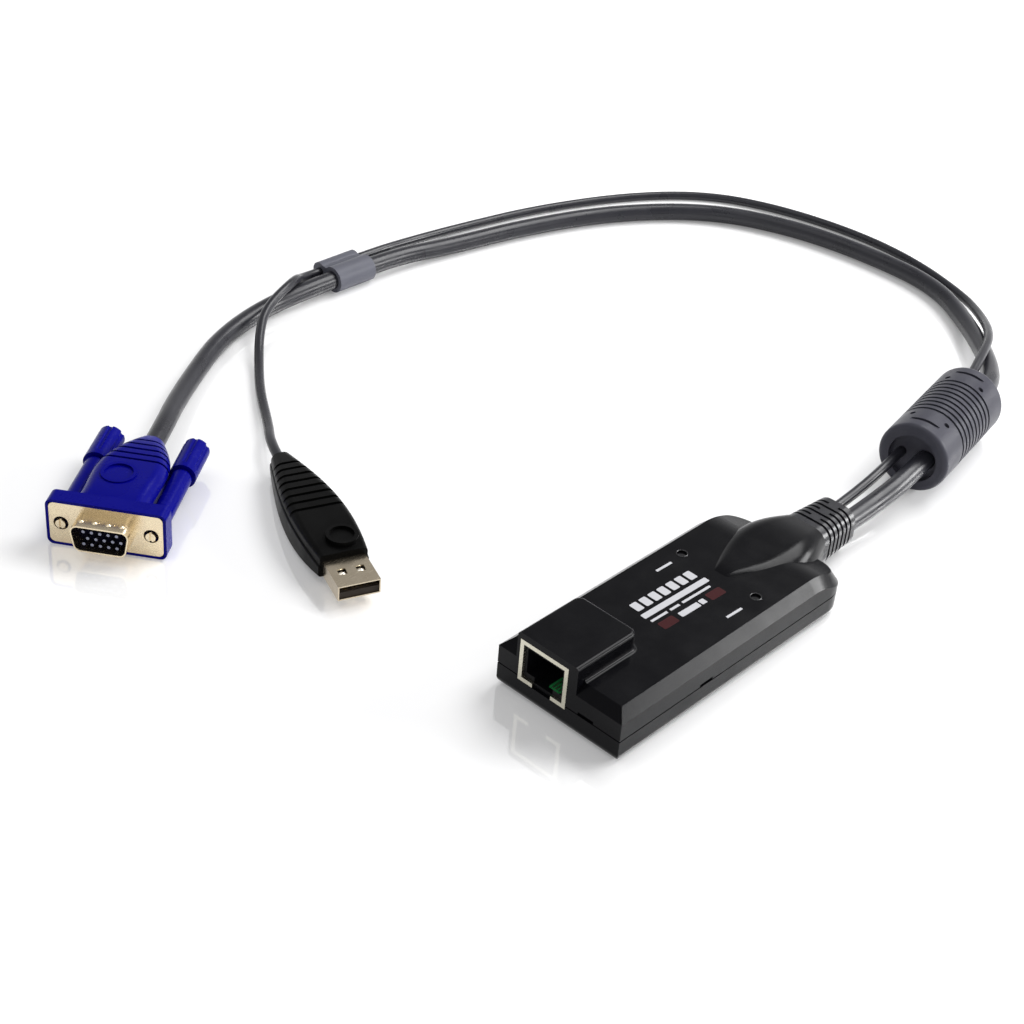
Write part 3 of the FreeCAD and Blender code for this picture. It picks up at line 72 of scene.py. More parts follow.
# %% Camera
LENS_MM, SENSOR_MM = 71.57, 36.0
CAMERA_AT = Vector((-350.71, -239.71, 333.77)) * MM
YAW, PITCH, ROLL = 0.71229, 0.61439, 0.085222  # radians: round the table, down, and about the lens
ahead = Vector((math.cos(YAW) * math.cos(PITCH), math.sin(YAW) * math.cos(PITCH), -math.sin(PITCH)))
level_right = Vector((math.sin(YAW), -math.cos(YAW), 0.0))
level_up = level_right.cross(ahead)
right = math.cos(ROLL) * level_right + math.sin(ROLL) * level_up
up = -math.sin(ROLL) * level_right + math.cos(ROLL) * level_up
lens = bpy.data.cameras.new("studio_camera")
lens.lens, lens.sensor_width = LENS_MM, SENSOR_MM
lens.clip_start, lens.clip_end = 0.01, 20.0
camera = bpy.data.objects.new("studio_camera", lens)
bpy.context.scene.collection.objects.link(camera)
facing = Matrix((right, up, -ahead)).transposed().to_4x4()
camera.matrix_world = Matrix.Translation(CAMERA_AT) @ facing
bpy.context.scene.camera = camera
print("camera: %.1f mm lens, %.2f m from the case" % (LENS_MM, CAMERA_AT.length))

# %% [markdown]
# ## Cords
# A cord is a round jacket of soft PVC over stranded wires. Each one is a smooth curve drawn along a few
# guide points, with a round section. The points lead from the boot through the ferrite barrel, along the
# table in one wide bend, through the clamp and up into the plug. Where the cords cross, the guide points
# of the thin one are lifted, so that it rides over the thick one instead of through it.

# %% Cords
VIDEO_CORD_MM, USB_CORD_MM = 6.0, 3.0
# Centre lines from the case to the plugs, in millimetres from the middle of the case.
VIDEO_ROUTE = [
    (66.0, -3.0, 7.5), (77.0, -3.1, 7.7), (96.83, -3.84, 10.95), (155.47, 6.71, 10.95),
    (176.2, 18.8, 7.0), (198.6, 41.0, 3.05), (212.8, 63.2, 3.05), (213.5, 93.0, 3.05),
    (208.5, 122.5, 3.05), (195.0, 149.5, 3.05), (167.0, 170.5, 3.05), (133.0, 183.3, 3.05),
    (100.0, 190.4, 3.1), (80.19, 194.68, 4.4), (42.22, 196.47, 4.4), (23.5, 197.6, 3.05),
    (2.0, 191.8, 3.05), (-17.5, 180.4, 3.4), (-34.5, 168.4, 5.4), (-46.0, 158.9, 7.3),
    (-55.84, 152.09, 7.3)]
USB_ROUTE = [
    (66.0, 3.4, 7.5), (77.0, 3.5, 7.8), (95.5, 3.61, 10.95), (154.12, 14.17, 10.95),
    (171.9, 20.1, 11.76), (187.5, 26.7, 10.2), (205.0, 40.4, 4.6), (217.1, 55.1, 1.55),
    (224.6, 80.1, 1.55), (225.5, 107.0, 1.55), (218.8, 137.5, 1.55), (206.5, 160.5, 1.55),
    (183.0, 178.0, 1.55), (149.0, 192.0, 1.55), (117.0, 199.5, 1.55), (96.0, 202.4, 2.2),
    (78.2, 201.6, 4.4), (45.95, 203.12, 4.4), (37.5, 196.5, 10.2), (20.5, 191.5, 7.6),
    (11.6, 184.0, 4.7), (3.8, 175.2, 1.8), (-6.7, 162.4, 1.55), (-17.4, 146.2, 2.3),
    (-26.9, 134.1, 5.3), (-30.37, 125.71, 5.3)]


def lay_cord(name, route, diameter_mm):
    """A round cord along guide points in millimetres; returns the object and its length in metres."""
    curve = bpy.data.curves.new(name, "CURVE")
    curve.dimensions = "3D"
    curve.bevel_resolution = 8
    curve.resolution_u = 12
    curve.use_fill_caps = True
    spline = curve.splines.new("NURBS")
    spline.points.add(len(route) - 1)
    for point, place in zip(spline.points, route):
        point.co = (*(c * MM for c in place), 1.0)
        point.radius = diameter_mm * MM / 2
    spline.order_u = 3
    spline.use_endpoint_u = True
    cord = bpy.data.objects.new(name, curve)
    bpy.context.scene.collection.objects.link(cord)
    line = bpy.data.meshes.new_from_object(cord)  # still without thickness: the bare centre line
    spots = [v.co for v in line.vertices]
    length = sum((a - b).length for a, b in zip(spots, spots[1:]))
    bpy.data.meshes.remove(line)
    curve.bevel_depth = 1.0  # one metre, which each point's own radius scales down to the real one
    return cord, length


video_cord, video_length = lay_cord("video_cord", VIDEO_ROUTE, VIDEO_CORD_MM)
usb_cord, usb_length = lay_cord("usb_cord", USB_ROUTE, USB_CORD_MM)
for cord, node in ((video_cord, "video_cord_tube"), (usb_cord, "usb_cord_tube")):
    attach(cord, "dongle")
    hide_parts(node)
print("video cord %.0f mm, USB cord %.0f mm" % (video_length / MM, usb_length / MM))

# %% [markdown]
# ## How a surface is built
# Colours are picked as sRGB hex values, because that is how colour charts give them, and the shader needs
# them linear, so one function converts. A second small function adds a shader node with its settings
# and links, which keeps every material below readable from top to bottom. Patterns are drawn in object
# coordinates turned to millimetres, so a grain of a quarter millimetre keeps that size on every piece.

# %% Colours and nodes


def paint(hex_colour):
    """A linear RGBA colour from an sRGB hex string."""
    channels = [int(hex_colour[i:i + 2], 16) / 255 for i in (1, 3, 5)]
    return tuple(c / 12.92 if c <= 0.04045 else ((c + 0.055) / 1.055) ** 2.4 for c in channels) + (1.0,)


def add(tree, kind, settings=None, **inputs):
    """Adds a node; inputs are values or the sockets that feed them, with _ for a space."""
    node = tree.nodes.new("ShaderNode" + kind)
    for key, setting in (settings or {}).items():
        setattr(node, key, setting)
    for key, given in inputs.items():
        socket = node.inputs[int(key[1:])] if key[1:].isdigit() else node.inputs[key.replace("_", " ")]
        if isinstance(given, bpy.types.NodeSocket):
            tree.links.new(given, socket)
        else:
            socket.default_value = given
    return node


print("plain black and white:", paint("#000000"), paint("#ffffff"))

# %% [markdown]
# ## Two kinds of surface
# Nearly every piece is either moulded or plated. A moulded plastic copies the fine spark-eroded grain of
# its mould, and its gloss drifts where hands have polished it, so one noise serves for tone and wear and
# another for the grain. Plated sheet has no pigment: it shows the room, broken up by the drawing lines
# of the rolled sheet and by cloudy tarnish. Both are written once, with the real sizes as arguments.

# %% Moulded and plated surfaces


def start(name):
    """An empty node material; returns it with its tree and object coordinates in millimetres."""
    material = bpy.data.materials.new(name)
    material.use_nodes = True
    tree = material.node_tree
    tree.nodes.clear()
    place = add(tree, "TexCoord").outputs["Object"]
    mm = add(tree, "VectorMath", {"operation": "SCALE"}, Vector=place, Scale=1 / MM).outputs["Vector"]
    return material, tree, mm


def finish(tree, surface, output="OutputMaterial"):
    """Puts a shader on the surface of a material or a world."""
    add(tree, output, Surface=surface)


def moulded(name, dark, light, roughness, spread, grain_mm, grain_depth_mm, mottle_mm=9.0, **shader):
    """Moulded plastic or rubber: a fine spark-eroded grain, faint flow mottling and handling wear."""
    material, tree, mm = start(name)
    mottle = add(tree, "TexNoise", Vector=mm, Scale=1 / mottle_mm, Detail=4.0, Roughness=0.6)
    tone = add(tree, "Mix", {"data_type": "RGBA"}, _0=mottle.outputs["Fac"])
    tone.inputs[6].default_value, tone.inputs[7].default_value = paint(dark), paint(light)
    grain = add(tree, "TexNoise", Vector=mm, Scale=1 / grain_mm, Detail=3.0, Roughness=0.55)
    wear = add(tree, "MapRange", Value=mottle.outputs["Fac"], From_Min=0.35, From_Max=0.65,
               To_Min=roughness - spread, To_Max=roughness + spread)
    bump = add(tree, "Bump", Strength=1.0, Distance=grain_depth_mm * MM, Height=grain.outputs["Fac"])
    surface = add(tree, "BsdfPrincipled", Base_Color=tone.outputs[2], Roughness=wear.outputs["Result"],
                  Normal=bump.outputs["Normal"], **shader)
    finish(tree, surface.outputs["BSDF"])
    return material


CLOUD_MM = 1 / 0.35  # a patch of tarnish is about three millimetres wide
LINE_SQUEEZE = 0.12  # drawing lines are about eight times as long as they are wide


def plated(name, bright, dull, roughness, spread, scratch_mm, scratch_depth_mm, **shader):
    """Plated sheet metal: drawing lines along X, cloudy tarnish and small roughness changes."""
    material, tree, mm = start(name)
    cloud = add(tree, "TexNoise", Vector=mm, Scale=1 / CLOUD_MM, Detail=5.0, Roughness=0.6)
    tone = add(tree, "Mix", {"data_type": "RGBA"}, _0=cloud.outputs["Fac"])
    tone.inputs[6].default_value, tone.inputs[7].default_value = paint(bright), paint(dull)
    drawn = add(tree, "VectorMath", {"operation": "MULTIPLY"}, Vector=mm)
    drawn.inputs[1].default_value = (LINE_SQUEEZE, 1.0, 1.0)
    lines = add(tree, "TexNoise", Vector=drawn.outputs["Vector"], Scale=1 / scratch_mm, Detail=4.0)
    wear = add(tree, "MapRange", Value=lines.outputs["Fac"], From_Min=0.3, From_Max=0.7,
               To_Min=roughness - spread, To_Max=roughness + spread)
    bump = add(tree, "Bump", Strength=1.0, Distance=scratch_depth_mm * MM, Height=lines.outputs["Fac"])
    surface = add(tree, "BsdfPrincipled", Base_Color=tone.outputs[2], Roughness=wear.outputs["Result"],
                  Normal=bump.outputs["Normal"], Metallic=1.0, **shader)
    finish(tree, surface.outputs["BSDF"])
    return material


print("material builders ready")

# %% [markdown]
# ## Black plastics
# The case is gloss black ABS from a polished mould with a slight orange peel, so it mirrors the softboxes
# as soft grey bands. A white room would also lay a grey veil over anything glossy and black, so the
# specular level is set well under the usual half. It is set on the shader itself, as a plain number. The
# grain of a real mould, about a fiftieth of a millimetre, is too fine to show, so it is drawn ten to
# twenty times as coarse and kept shallow.

# %% Black plastics
SATIN = {"IOR": 1.53, "Specular_IOR_Level": 0.3}
FAINT = {"IOR": 1.53, "Specular_IOR_Level": 0.1}
FAINTER = {"IOR": 1.53, "Specular_IOR_Level": 0.05}
# Arguments: dark and light tone, roughness and its spread, grain width and depth in millimetres.
# Polished mould: long soft highlights along the bevels.
case_abs = moulded("polished black ABS", "#060609", "#0a0a0d", 0.22, 0.04, 0.35, 0.004, **FAINT)
# The rim round a lamp hole is rubbed bright: a thin arc of light.
rim_abs = moulded("burnished black ABS", "#0a0a0d", "#101014", 0.12, 0.03, 0.35, 0.002, IOR=1.53)
# Glass-filled PBT inside the jack: dull, so that the opening reads as a dark hole.
jack_pbt = moulded("black PBT", "#08080a", "#0e0e10", 0.45, 0.05, 0.2, 0.004, **FAINT)
# Smoked acrylic lamp lens: clear gloss with no visible grain.
lens_acrylic = moulded("smoked acrylic", "#0c0c0e", "#131316", 0.12, 0.03, 0.6, 0.001, IOR=1.49)
# Leathery grain on the USB hood: the light breaks up and the black stays deep.
usb_black = moulded("matte black PVC", "#050505", "#0a0a0a", 0.36, 0.07, 0.3, 0.02, **FAINTER)
# Transfer-moulded epoxy on the chips: flat and chalky.
chip_epoxy = moulded("moulding epoxy", "#141415", "#1c1c1e", 0.6, 0.06, 0.12, 0.006, IOR=1.55)
# Sintered ferrite: a dense grey-black ceramic, slightly sandy.
ferrite = moulded("sintered ferrite", "#2a2827", "#383534", 0.7, 0.08, 0.15, 0.02, IOR=1.9)
print("black plastics:", case_abs.name, "and six more")

# %% [markdown]
# ## Soft and coloured plastics
# The cord jackets and the boot are plasticised PVC, satin and a touch lighter than the case. The ferrite
# barrel and the clamp are plain grey mouldings. The video plug's hood is blue, the colour that marks a
# video plug. Inside the connectors the insulators are nylon and PBT, which take a dull, even tone.

# %% Soft and coloured plastics
# Extruded and moulded PVC: satin streaks of light along the cord and on the ribs of the boot.
boot_pvc = moulded("satin black PVC", "#1c1c20", "#26262b", 0.3, 0.05, 0.25, 0.008, **SATIN)
cord_pvc = moulded("grey PVC jacket", "#1e1e23", "#28282e", 0.3, 0.05, 0.3, 0.008, **SATIN)
# Grey mouldings: broad dull highlights.
barrel_pvc = moulded("grey moulded barrel", "#3b3b43", "#484850", 0.36, 0.06, 0.22, 0.01, **FAINT)
clamp_pvc = moulded("grey moulded clamp", "#55565e", "#65666f", 0.4, 0.06, 0.22, 0.01, **FAINT)
# Deep blue all through, so the edges stay as blue as the faces.
hood_blue = moulded("blue PVC", "#02036e", "#05067c", 0.26, 0.06, 0.28, 0.008, **FAINTER)
# Insulators: dark and dull behind the bright shells, and a green comb in the network socket.
insulator_pbt = moulded("navy moulded PBT", "#05051a", "#0a0a26", 0.4, 0.05, 0.2, 0.006, **FAINTER)
usb_nylon = moulded("brown-black nylon", "#2a2521", "#37302a", 0.4, 0.05, 0.2, 0.006, **FAINT)
carrier_nylon = moulded("green nylon", "#1f6b3a", "#2c8a4c", 0.4, 0.05, 0.3, 0.003, **FAINT)
# Parts on the circuit board: solder mask like thick green varnish, and waxy cream headers.
board_mask = moulded("green solder mask", "#0f4a24", "#17602f", 0.35, 0.05, 0.6, 0.01, IOR=1.5)
header_nylon = moulded("cream nylon", "#d8d2bd", "#e4dfcd", 0.5, 0.05, 0.3, 0.004, IOR=1.53)
# Pad-printing ink dries flat and matte, and a thin coat of red over black stays dark.
white_ink = moulded("white pad-print ink", "#b4b4b8", "#c8c8cc", 0.55, 0.05, 0.1, 0.004, **FAINT)
red_ink = moulded("dark red pad-print ink", "#2e090c", "#3c0d11", 0.55, 0.05, 0.1, 0.004, **FAINT)
print("soft and coloured plastics:", cord_pvc.name, "and eleven more")

# %% [markdown]
# ## Metals
# Connector shells are drawn from thin sheet and plated: nickel with a warm cast on both plugs, tin on the
# jack. The contacts carry a flash of gold, and the pins of the video plug are tinned. Plating clouds over
# with handling, so the tone and the roughness drift a little from place to place. A metal keeps the
# default IOR. Real drawing lines are a few hundredths of a millimetre apart; here they are drawn at a
# quarter of a millimetre, so that they show at all.

# %% Metals
# Tin: a soft, slightly yellow white.
tin_plate = plated("tin plate", "#dcd8c8", "#c4c0ae", 0.26, 0.06, 0.25, 0.003)
# Nickel: warm and calm, nearly without lines, because thick plating fills them.
warm_nickel = plated("warm nickel plate", "#e6d9b8", "#d2bfa4", 0.27, 0.04, 0.3, 0.0005)
usb_nickel = plated("nickel plate", "#d6cab4", "#bcae97", 0.24, 0.04, 0.3, 0.0006)
# Tinned brass pins, painted darker and cooler than tin as painted shade inside the shell: small grey dots
# against the navy insulator.
tin_pins_with_painted_shade = plated("tinned pin brass with painted shade", "#8d8f9e", "#6f7180", 0.3, 0.05, 0.2, 0.002)
# Spring steel, painted far brighter than steel reflects: a painted highlight that makes the leaves light
# up in their windows.
steel_with_painted_highlight = plated("spring steel with painted highlight", "#f6f1e6", "#e8e1d2", 0.3, 0.05, 0.2, 0.002)
gold_flash = plated("gold flash", "#cdb890", "#b29a70", 0.2, 0.05, 0.2, 0.002)
# Inside and underneath: oxide-black screws, and cans of aluminium and steel.
blackened_steel = plated("blackened steel", "#4a4a4e", "#38383b", 0.4, 0.08, 0.2, 0.005)
can_aluminium = plated("drawn aluminium", "#d4d5d8", "#bcbdc1", 0.3, 0.06, 0.2, 0.004)
can_steel = plated("drawn steel can", "#c9c9cc", "#b0b0b4", 0.25, 0.05, 0.2, 0.003)
print("metals:", warm_nickel.name, "and eight more")

# %% [markdown]
# ## Surfaces on the solid parts
# Each CAD part is one piece of one material, so each keeps its shape and takes one surface.

# %% Surfaces on the solid parts
SURFACES = {
    case_abs: ["upper_shell", "lower_shell"],
    jack_pbt: ["jack_housing"],
    tin_plate: ["jack_shield"],
    carrier_nylon: ["jack_contact_carrier"],
    gold_flash: ["jack_contacts", "usb_plug_contacts"],
    tin_pins_with_painted_shade: ["video_plug_pins"],
    lens_acrylic: ["online_lamp", "power_lamp"],
    board_mask: ["circuit_board"],
    chip_epoxy: ["main_chip", "network_magnetics"],
    can_steel: ["crystal"],
    header_nylon: ["video_cord_header", "usb_cord_header"],
    can_aluminium: ["capacitors"],
    blackened_steel: ["case_screws"],
    boot_pvc: ["cord_boot"],
    ferrite: ["ferrite_core"],
    barrel_pvc: ["ferrite_cover"],
    clamp_pvc: ["cord_clamp"],
    hood_blue: ["video_plug_hood", "thumbscrew_left_grip", "thumbscrew_right_grip"],
    warm_nickel: ["video_plug_shell", "thumbscrew_left_driver", "thumbscrew_right_driver"],
    insulator_pbt: ["video_plug_insulator"],
    usb_nylon: ["usb_plug_insulator"],
    usb_black: ["usb_plug_hood"],
    usb_nickel: ["usb_plug_shell"],
}
for surface, names in SURFACES.items():
    for name in names:
        for slot in bpy.data.objects[name].material_slots:
            slot.material = surface
for cord in (video_cord, usb_cord):
    cord.data.materials.append(cord_pvc)
print("surfaces set on", sum(len(names) for names in SURFACES.values()), "solid parts")

# %% [markdown]
# ## From millimetres to a piece of the dongle
# The small details below are built in millimetres as loose meshes. One function scales such a mesh to
# metres, gives it its surface and lets it ride on the dongle's body, so that it moves when that does.

# %% From a loose mesh to a piece


def settle(mesh, name, place, coat):
    """Turns a mesh in millimetres into a piece of the dongle at a place, and returns the piece."""
    to_metres = Matrix.Diagonal((MM, MM, MM, 1))
    bmesh.ops.transform(mesh, verts=mesh.verts, matrix=to_metres @ place)
    data = bpy.data.meshes.new(name)
    mesh.to_mesh(data)
    mesh.free()
    data.materials.append(coat)
    piece = bpy.data.objects.new(name, data)
    bpy.context.scene.collection.objects.link(piece)
    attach(piece, "dongle")
    return piece


print("small pieces ride on:", "dongle")

# %% [markdown]
# ## Print on the lid
# The lid carries pad-printed marks: a label above a rule, and a caption beside each lamp. Here they are
# plain bars of ink with rounded corners, as a silicone pad leaves them. A real coat of ink is about a
# hundredth of a millimetre thick; three hundredths keep it clear of the plastic beneath.

# %% A bar with rounded corners
LID_Z_MM = 15.1
INK_MM = 0.03
CORNER_SHARE = 0.16  # corner radius as a share of the bar's shorter side
CORNER_STEPS = 4


def ink_bar(name, centre, size, turn_deg, ink, height_mm=LID_Z_MM):
    """A flat bar with rounded corners, lying at a height above the table."""
    (x, y), (length, width) = centre, size
    r = min(length, width) * CORNER_SHARE
    mesh = bmesh.new()
    edge = []
    for cx, cy, first in ((1, -1, -90), (1, 1, 0), (-1, 1, 90), (-1, -1, 180)):
        for step in range(CORNER_STEPS + 1):
            a = math.radians(first + step * 90 / CORNER_STEPS)
            edge.append(mesh.verts.new((cx * (length / 2 - r) + r * math.cos(a),
                                        cy * (width / 2 - r) + r * math.sin(a), 0.0)))
    face = mesh.faces.new(edge)
    raised = bmesh.ops.extrude_face_region(mesh, geom=[face])
    bmesh.ops.translate(mesh, vec=(0, 0, INK_MM),
                        verts=[v for v in raised["geom"] if isinstance(v, bmesh.types.BMVert)])
    bmesh.ops.recalc_face_normals(mesh, faces=mesh.faces)
    turn = Matrix.Rotation(math.radians(turn_deg), 4, "Z")
    return settle(mesh, name, Matrix.Translation((x, y, height_mm)) @ turn, ink)


# %% Print on the lid
TURN_DEG = -1.6  # the label isn't quite square to the case
BLOCK_PITCH, BLOCK_DROP, BLOCK_SIZE = 3.46, 0.1, (2.5, 3.4)
PRINT = [("label_block_%d" % i, (-14.8 + BLOCK_PITCH * i, 5.45 - BLOCK_DROP * i), BLOCK_SIZE, white_ink)
         for i in range(7)]
PRINT += [
    ("label_rule", (-4.4, 1.2), (25.2, 1.9), white_ink),
    ("label_dash_a", (-13.6, -1.1), (6.2, 0.8), white_ink),
    ("label_dash_b", (-7.6, -1.25), (3.6, 0.8), white_ink),
    ("label_dash_c", (0.9, -1.45), (11.0, 0.8), white_ink),
    ("label_red_front", (-13.6, -4.2), (5.6, 3.0), red_ink),
    ("label_red_rear", (5.0, -4.6), (5.6, 3.0), red_ink),
    ("label_bar", (-5.4, -4.4), (7.4, 1.9), white_ink),
    ("label_dot", (-0.2, -4.5), (1.9, 1.9), white_ink),
    ("caption_online", (3.7, 11.9), (6.0, 0.8), white_ink),
    ("caption_power", (2.3, -13.0), (6.0, 0.8), white_ink),
]
for name, centre, size, ink in PRINT:
    ink_bar(name, centre, size, TURN_DEG, ink)
print("print:", len(PRINT), "bars")

# %% [markdown]
# ## Foot of the contact comb
# On the floor of the network socket lies the foot of the green comb that spaces the contact wires. Only a
# glint of it shows from outside, so flat bars are enough.

# %% Foot of the contact comb
FOOT_X_MM, FOOT_Y_MM, FOOT_Z_MM = -46.4, 2.1, 8.64
WIRE_FIRST_MM, WIRE_PITCH_MM = 1.0, 1.02
ink_bar("comb_foot", (FOOT_X_MM, FOOT_Y_MM), (5.6, 3.9), 0.0, carrier_nylon, FOOT_Z_MM)
for count in range(3):
    ink_bar("comb_wire_%d" % count, (FOOT_X_MM, WIRE_FIRST_MM + WIRE_PITCH_MM * count), (4.6, 0.42), 0.0,
            steel_with_painted_highlight, FOOT_Z_MM + INK_MM)
print("comb foot at", FOOT_Z_MM, "mm")

# %% [markdown]
# ## Lamp rims
# Each lamp sits in a hole in the lid. The lid's mould leaves a fine raised rim round such a hole, which
# catches the light as a small bright arc. A ring of small round section does that with few faces.

# %% Lamp rims
RIM_RADIUS_MM, RIM_SECTION_MM = 1.5, 0.16
ROUND_STEPS, SECTION_STEPS = 48, 10


def rim(name, centre):
    """A ring of round section lying on the lid, half sunk in it."""
    mesh = bmesh.new()
    loops = []
    for step in range(ROUND_STEPS):
        a = math.tau * step / ROUND_STEPS
        loop = []
        for turn in range(SECTION_STEPS):
            b = math.tau * turn / SECTION_STEPS
            r = RIM_RADIUS_MM + RIM_SECTION_MM * math.cos(b)
            loop.append(mesh.verts.new((r * math.cos(a), r * math.sin(a), RIM_SECTION_MM * math.sin(b))))
        loops.append(loop)
    for here, there in zip(loops, loops[1:] + loops[:1]):
        for turn in range(SECTION_STEPS):
            after = (turn + 1) % SECTION_STEPS
            mesh.faces.new((here[turn], there[turn], there[after], here[after]))
    bmesh.ops.recalc_face_normals(mesh, faces=mesh.faces)
    for face in mesh.faces:
        face.smooth = True
    return settle(mesh, name, Matrix.Translation((*centre, LID_Z_MM)), rim_abs)


for lamp in ("online_lamp", "power_lamp"):
    low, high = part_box(lamp)
    middle = tuple((low[axis] + high[axis]) / 2 / MM for axis in (0, 1))
    rim(lamp + "_rim", middle)
    print("%s rim round (%.1f, %.1f) mm" % (lamp, *middle))

# %% [markdown]
# ## Pressed details of the plugs
# The video plug's shell has four pressed domes that wedge it in its socket, and the USB plug shows a
# bright spring leaf in each window. Both are small smooth humps, so one grid lifted by a cosine makes
# them. The grid is squeezed from a square into a disc, which leaves no sharp corners.

# %% Pressed details of the plugs
HUMP_STEPS = 12


def hump(name, plug, place, width, rise, coat):
    """A round smooth hump on a plug, with its place in the plug's own axes, all in millimetres."""
    origin, heading_deg = plug
    mesh = bmesh.new()
    rows = []
    for i in range(HUMP_STEPS + 1):
        u = 2 * i / HUMP_STEPS - 1
        rows.append([])
        for j in range(HUMP_STEPS + 1):
            v = 2 * j / HUMP_STEPS - 1
            x, y = u * math.sqrt(1 - v * v / 2), v * math.sqrt(1 - u * u / 2)
            lift = rise * (1 + math.cos(math.pi * min(math.hypot(x, y), 1.0))) / 2
            rows[-1].append(mesh.verts.new((place[0] + x * width / 2, place[1] + y * width / 2,
                                            place[2] + lift)))
    for here, there in zip(rows, rows[1:]):
        for j in range(HUMP_STEPS):
            mesh.faces.new((here[j], there[j], there[j + 1], here[j + 1])).smooth = True
    turn = Matrix.Rotation(math.radians(heading_deg), 4, "Z")
    return settle(mesh, name, Matrix.Translation(origin) @ turn, coat)


# The middle of each plug's front, in millimetres, and the way that it points.
VIDEO_PLUG = ((-89.55, 128.75, 7.3), 214.7)
USB_PLUG = ((-54.65, 66.5, 5.3), -112.3)
for count, y in enumerate((-5.6, -1.9, 1.9, 5.6)):
    hump("video_shell_dome_%d" % count, VIDEO_PLUG, (3.3, y, 4.12), 2.0, 0.4, warm_nickel)
for count, y in enumerate((-2.6, 2.6)):
    hump("usb_window_leaf_%d" % count, USB_PLUG, (-6.2, y, 1.5), 2.8, 0.5, steel_with_painted_highlight)
print("pressed details: 4 domes, 2 leaves")

# %% [markdown]
# ## White for the eye, not for the object
# The table and the room have to look white without lighting the object more. Rays that come from the
# camera, or by way of a mirror or glass, can be told apart from the rays that light it, so both get
# their extra white for those rays alone.

# %% Rays that are seen


def seen_rays(tree):
    """Light Path's node, and a socket that is one for camera, glossy and transmission rays."""
    ray = add(tree, "LightPath")
    seen = add(tree, "Math", {"operation": "MAXIMUM"}, _0=ray.outputs["Is Camera Ray"],
               _1=ray.outputs["Is Glossy Ray"])
    seen = add(tree, "Math", {"operation": "MAXIMUM"}, _0=seen.outputs[0],
               _1=ray.outputs["Is Transmission Ray"])
    return ray, seen.outputs[0]


print("white is added for camera, glossy and transmission rays")

# %% [markdown]
# ## Table
# The table is a white glazed board that runs to the horizon. Its diffuse body keeps the soft shadows, and
# the glaze gives the faint mirror image under the plugs. The glaze is faintly smudged, so the image
# isn't perfectly sharp. Far from the object, where no lamp reaches, the board gets whiter by itself.

# %% Table
GLAZE_SHARE = 0.29
NEAR_MM, FAR_MM = 350.0, 1400.0
NEAR_WHITE, FAR_WHITE = 0.18, 0.6
TABLE_REACH = 6.0
glazed_board, tree, mm = start("white glazed board")
smudge = add(tree, "TexNoise", Vector=mm, Scale=0.02, Detail=3.0)  # smudges five centimetres wide
sheen = add(tree, "MapRange", Value=smudge.outputs["Fac"], To_Min=0.04, To_Max=0.08)
body = add(tree, "BsdfDiffuse", Color=paint("#fbfbfb"))
glaze = add(tree, "BsdfGlossy", Color=paint("#fdfdfd"), Roughness=sheen.outputs["Result"])
board = add(tree, "MixShader", _0=GLAZE_SHARE, _1=body.outputs["BSDF"], _2=glaze.outputs["BSDF"])
ray, seen = seen_rays(tree)
away = add(tree, "VectorMath", {"operation": "LENGTH"}, Vector=mm)
fill = add(tree, "MapRange", Value=away.outputs["Value"], From_Min=NEAR_MM, From_Max=FAR_MM,
           To_Min=NEAR_WHITE, To_Max=FAR_WHITE)
lift = add(tree, "Math", {"operation": "MULTIPLY"}, _0=seen, _1=fill.outputs["Result"])
glow = add(tree, "Emission", Strength=lift.outputs[0])
white = add(tree, "AddShader", _0=board.outputs["Shader"], _1=glow.outputs["Emission"])
finish(tree, white.outputs["Shader"])
corners = [(x * TABLE_REACH, y * TABLE_REACH, 0) for x, y in ((-1, -1), (1, -1), (1, 1), (-1, 1))]
table_mesh = bpy.data.meshes.new("table")
table_mesh.from_pydata(corners, [], [(0, 1, 2, 3)])
table_mesh.materials.append(glazed_board)
table = bpy.data.objects.new("table", table_mesh)
table.location.z = cad_box[0][2]
bpy.context.scene.collection.objects.link(table)
print("table: %.0f m square" % (2 * TABLE_REACH))

# %% [markdown]
# ## Lamps
# Two softboxes stand behind the object on the right, one high and one low, where the bevel of the case
# and the flank of its neck mirror them as grey bands. A wide one hangs overhead for soft shadows, and a
# weak one in front lifts the faces that look at the camera.

# %% Lamps
MIDDLE = Vector((0.05, 0.06, 0.0))


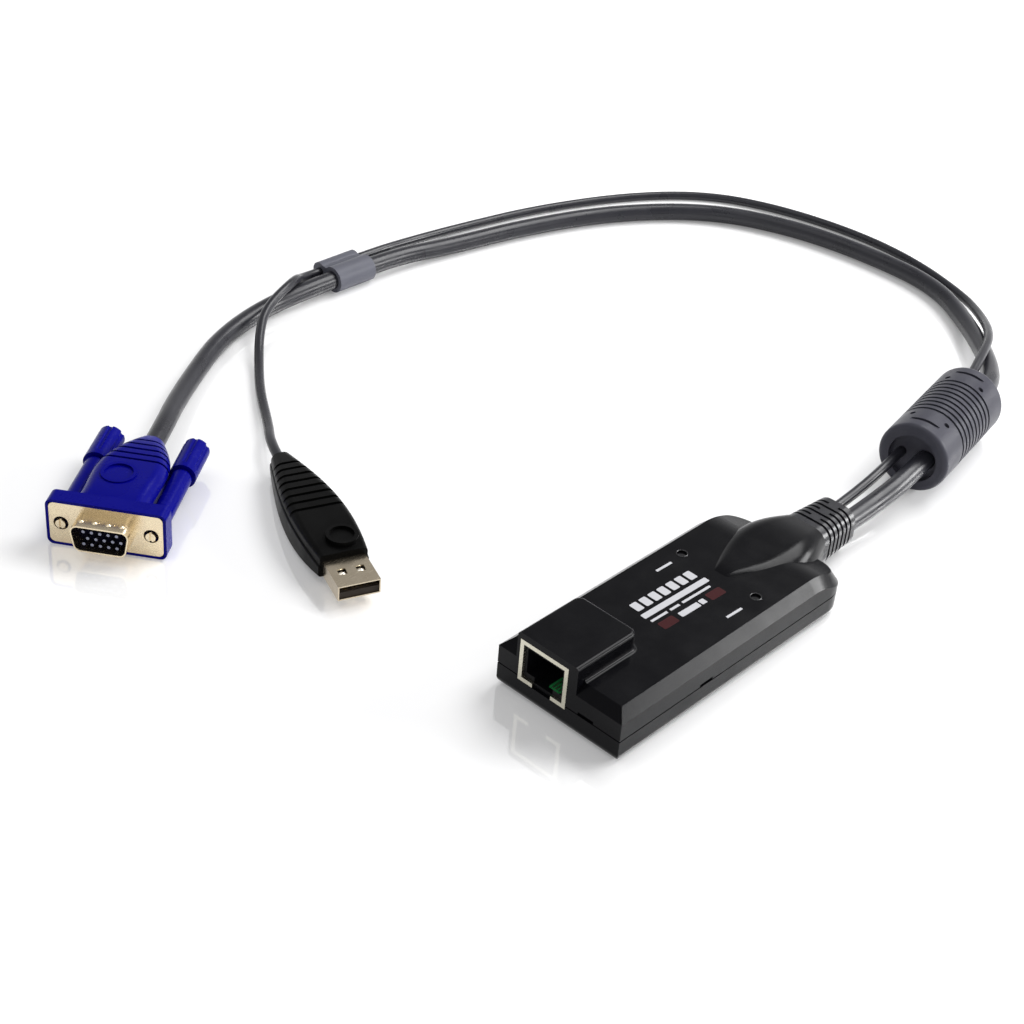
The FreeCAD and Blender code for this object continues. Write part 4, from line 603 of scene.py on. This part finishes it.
def softbox(name, place, size, watts, tint="#ffffff"):
    """A rectangular lamp that faces the middle of the object; place and size are in metres."""
    data = bpy.data.lights.new(name, "AREA")
    data.shape, data.size, data.size_y = "RECTANGLE", *size
    data.energy, data.color = watts, paint(tint)[:3]
    box = bpy.data.objects.new(name, data)
    box.location = place
    box.rotation_euler = (MIDDLE - Vector(place)).to_track_quat("-Z", "Y").to_euler()
    bpy.context.scene.collection.objects.link(box)
    print("%s: %.1f W" % (name, watts))
    return box


softbox("high_key_box", (0.72, -0.04, 0.86), (0.75, 0.5), 10.5)
softbox("low_key_box", (0.84, -0.64, 0.36), (0.55, 0.3), 10.5)
softbox("overhead_box", (-0.25, 0.35, 1.2), (0.9, 0.9), 2.4)
softbox("front_box", (-0.9, -0.5, 0.8), (0.7, 0.6), 1.4, "#fbfbff")

# %% [markdown]
# ## Room
# A room that is white all round makes polished black look grey. Real studios have a dark ceiling, so what
# the object mirrors gets dimmer from the horizon upwards, while the eye still sees white. Only a third of
# that level lights the object.

# %% Room
ROOM_LIGHT, CEILING_LIGHT = 0.34, 0.42
HORIZON, CEILING = 0.2, 0.62  # heights on a ball round the room, as sines of the angle
room = bpy.data.worlds.new("white room")
room.use_nodes = True
tree = room.node_tree
tree.nodes.clear()
ray, seen = seen_rays(tree)
way = add(tree, "SeparateXYZ", Vector=add(tree, "TexCoord").outputs["Generated"])
dim = add(tree, "MapRange", Value=way.outputs["Z"], From_Min=HORIZON, From_Max=CEILING, To_Min=1.0,
          To_Max=CEILING_LIGHT)
dome = add(tree, "Math", {"operation": "MAXIMUM"}, _0=ray.outputs["Is Camera Ray"],
           _1=dim.outputs["Result"])
level = add(tree, "MapRange", Value=seen, To_Min=ROOM_LIGHT, To_Max=dome.outputs[0])
back = add(tree, "Background", Color=paint("#fdfdfe"), Strength=level.outputs["Result"])
finish(tree, back.outputs["Background"], "OutputWorld")
bpy.context.scene.world = room
bpy.context.scene.view_settings.view_transform = "Standard"
print("room:", room.name)
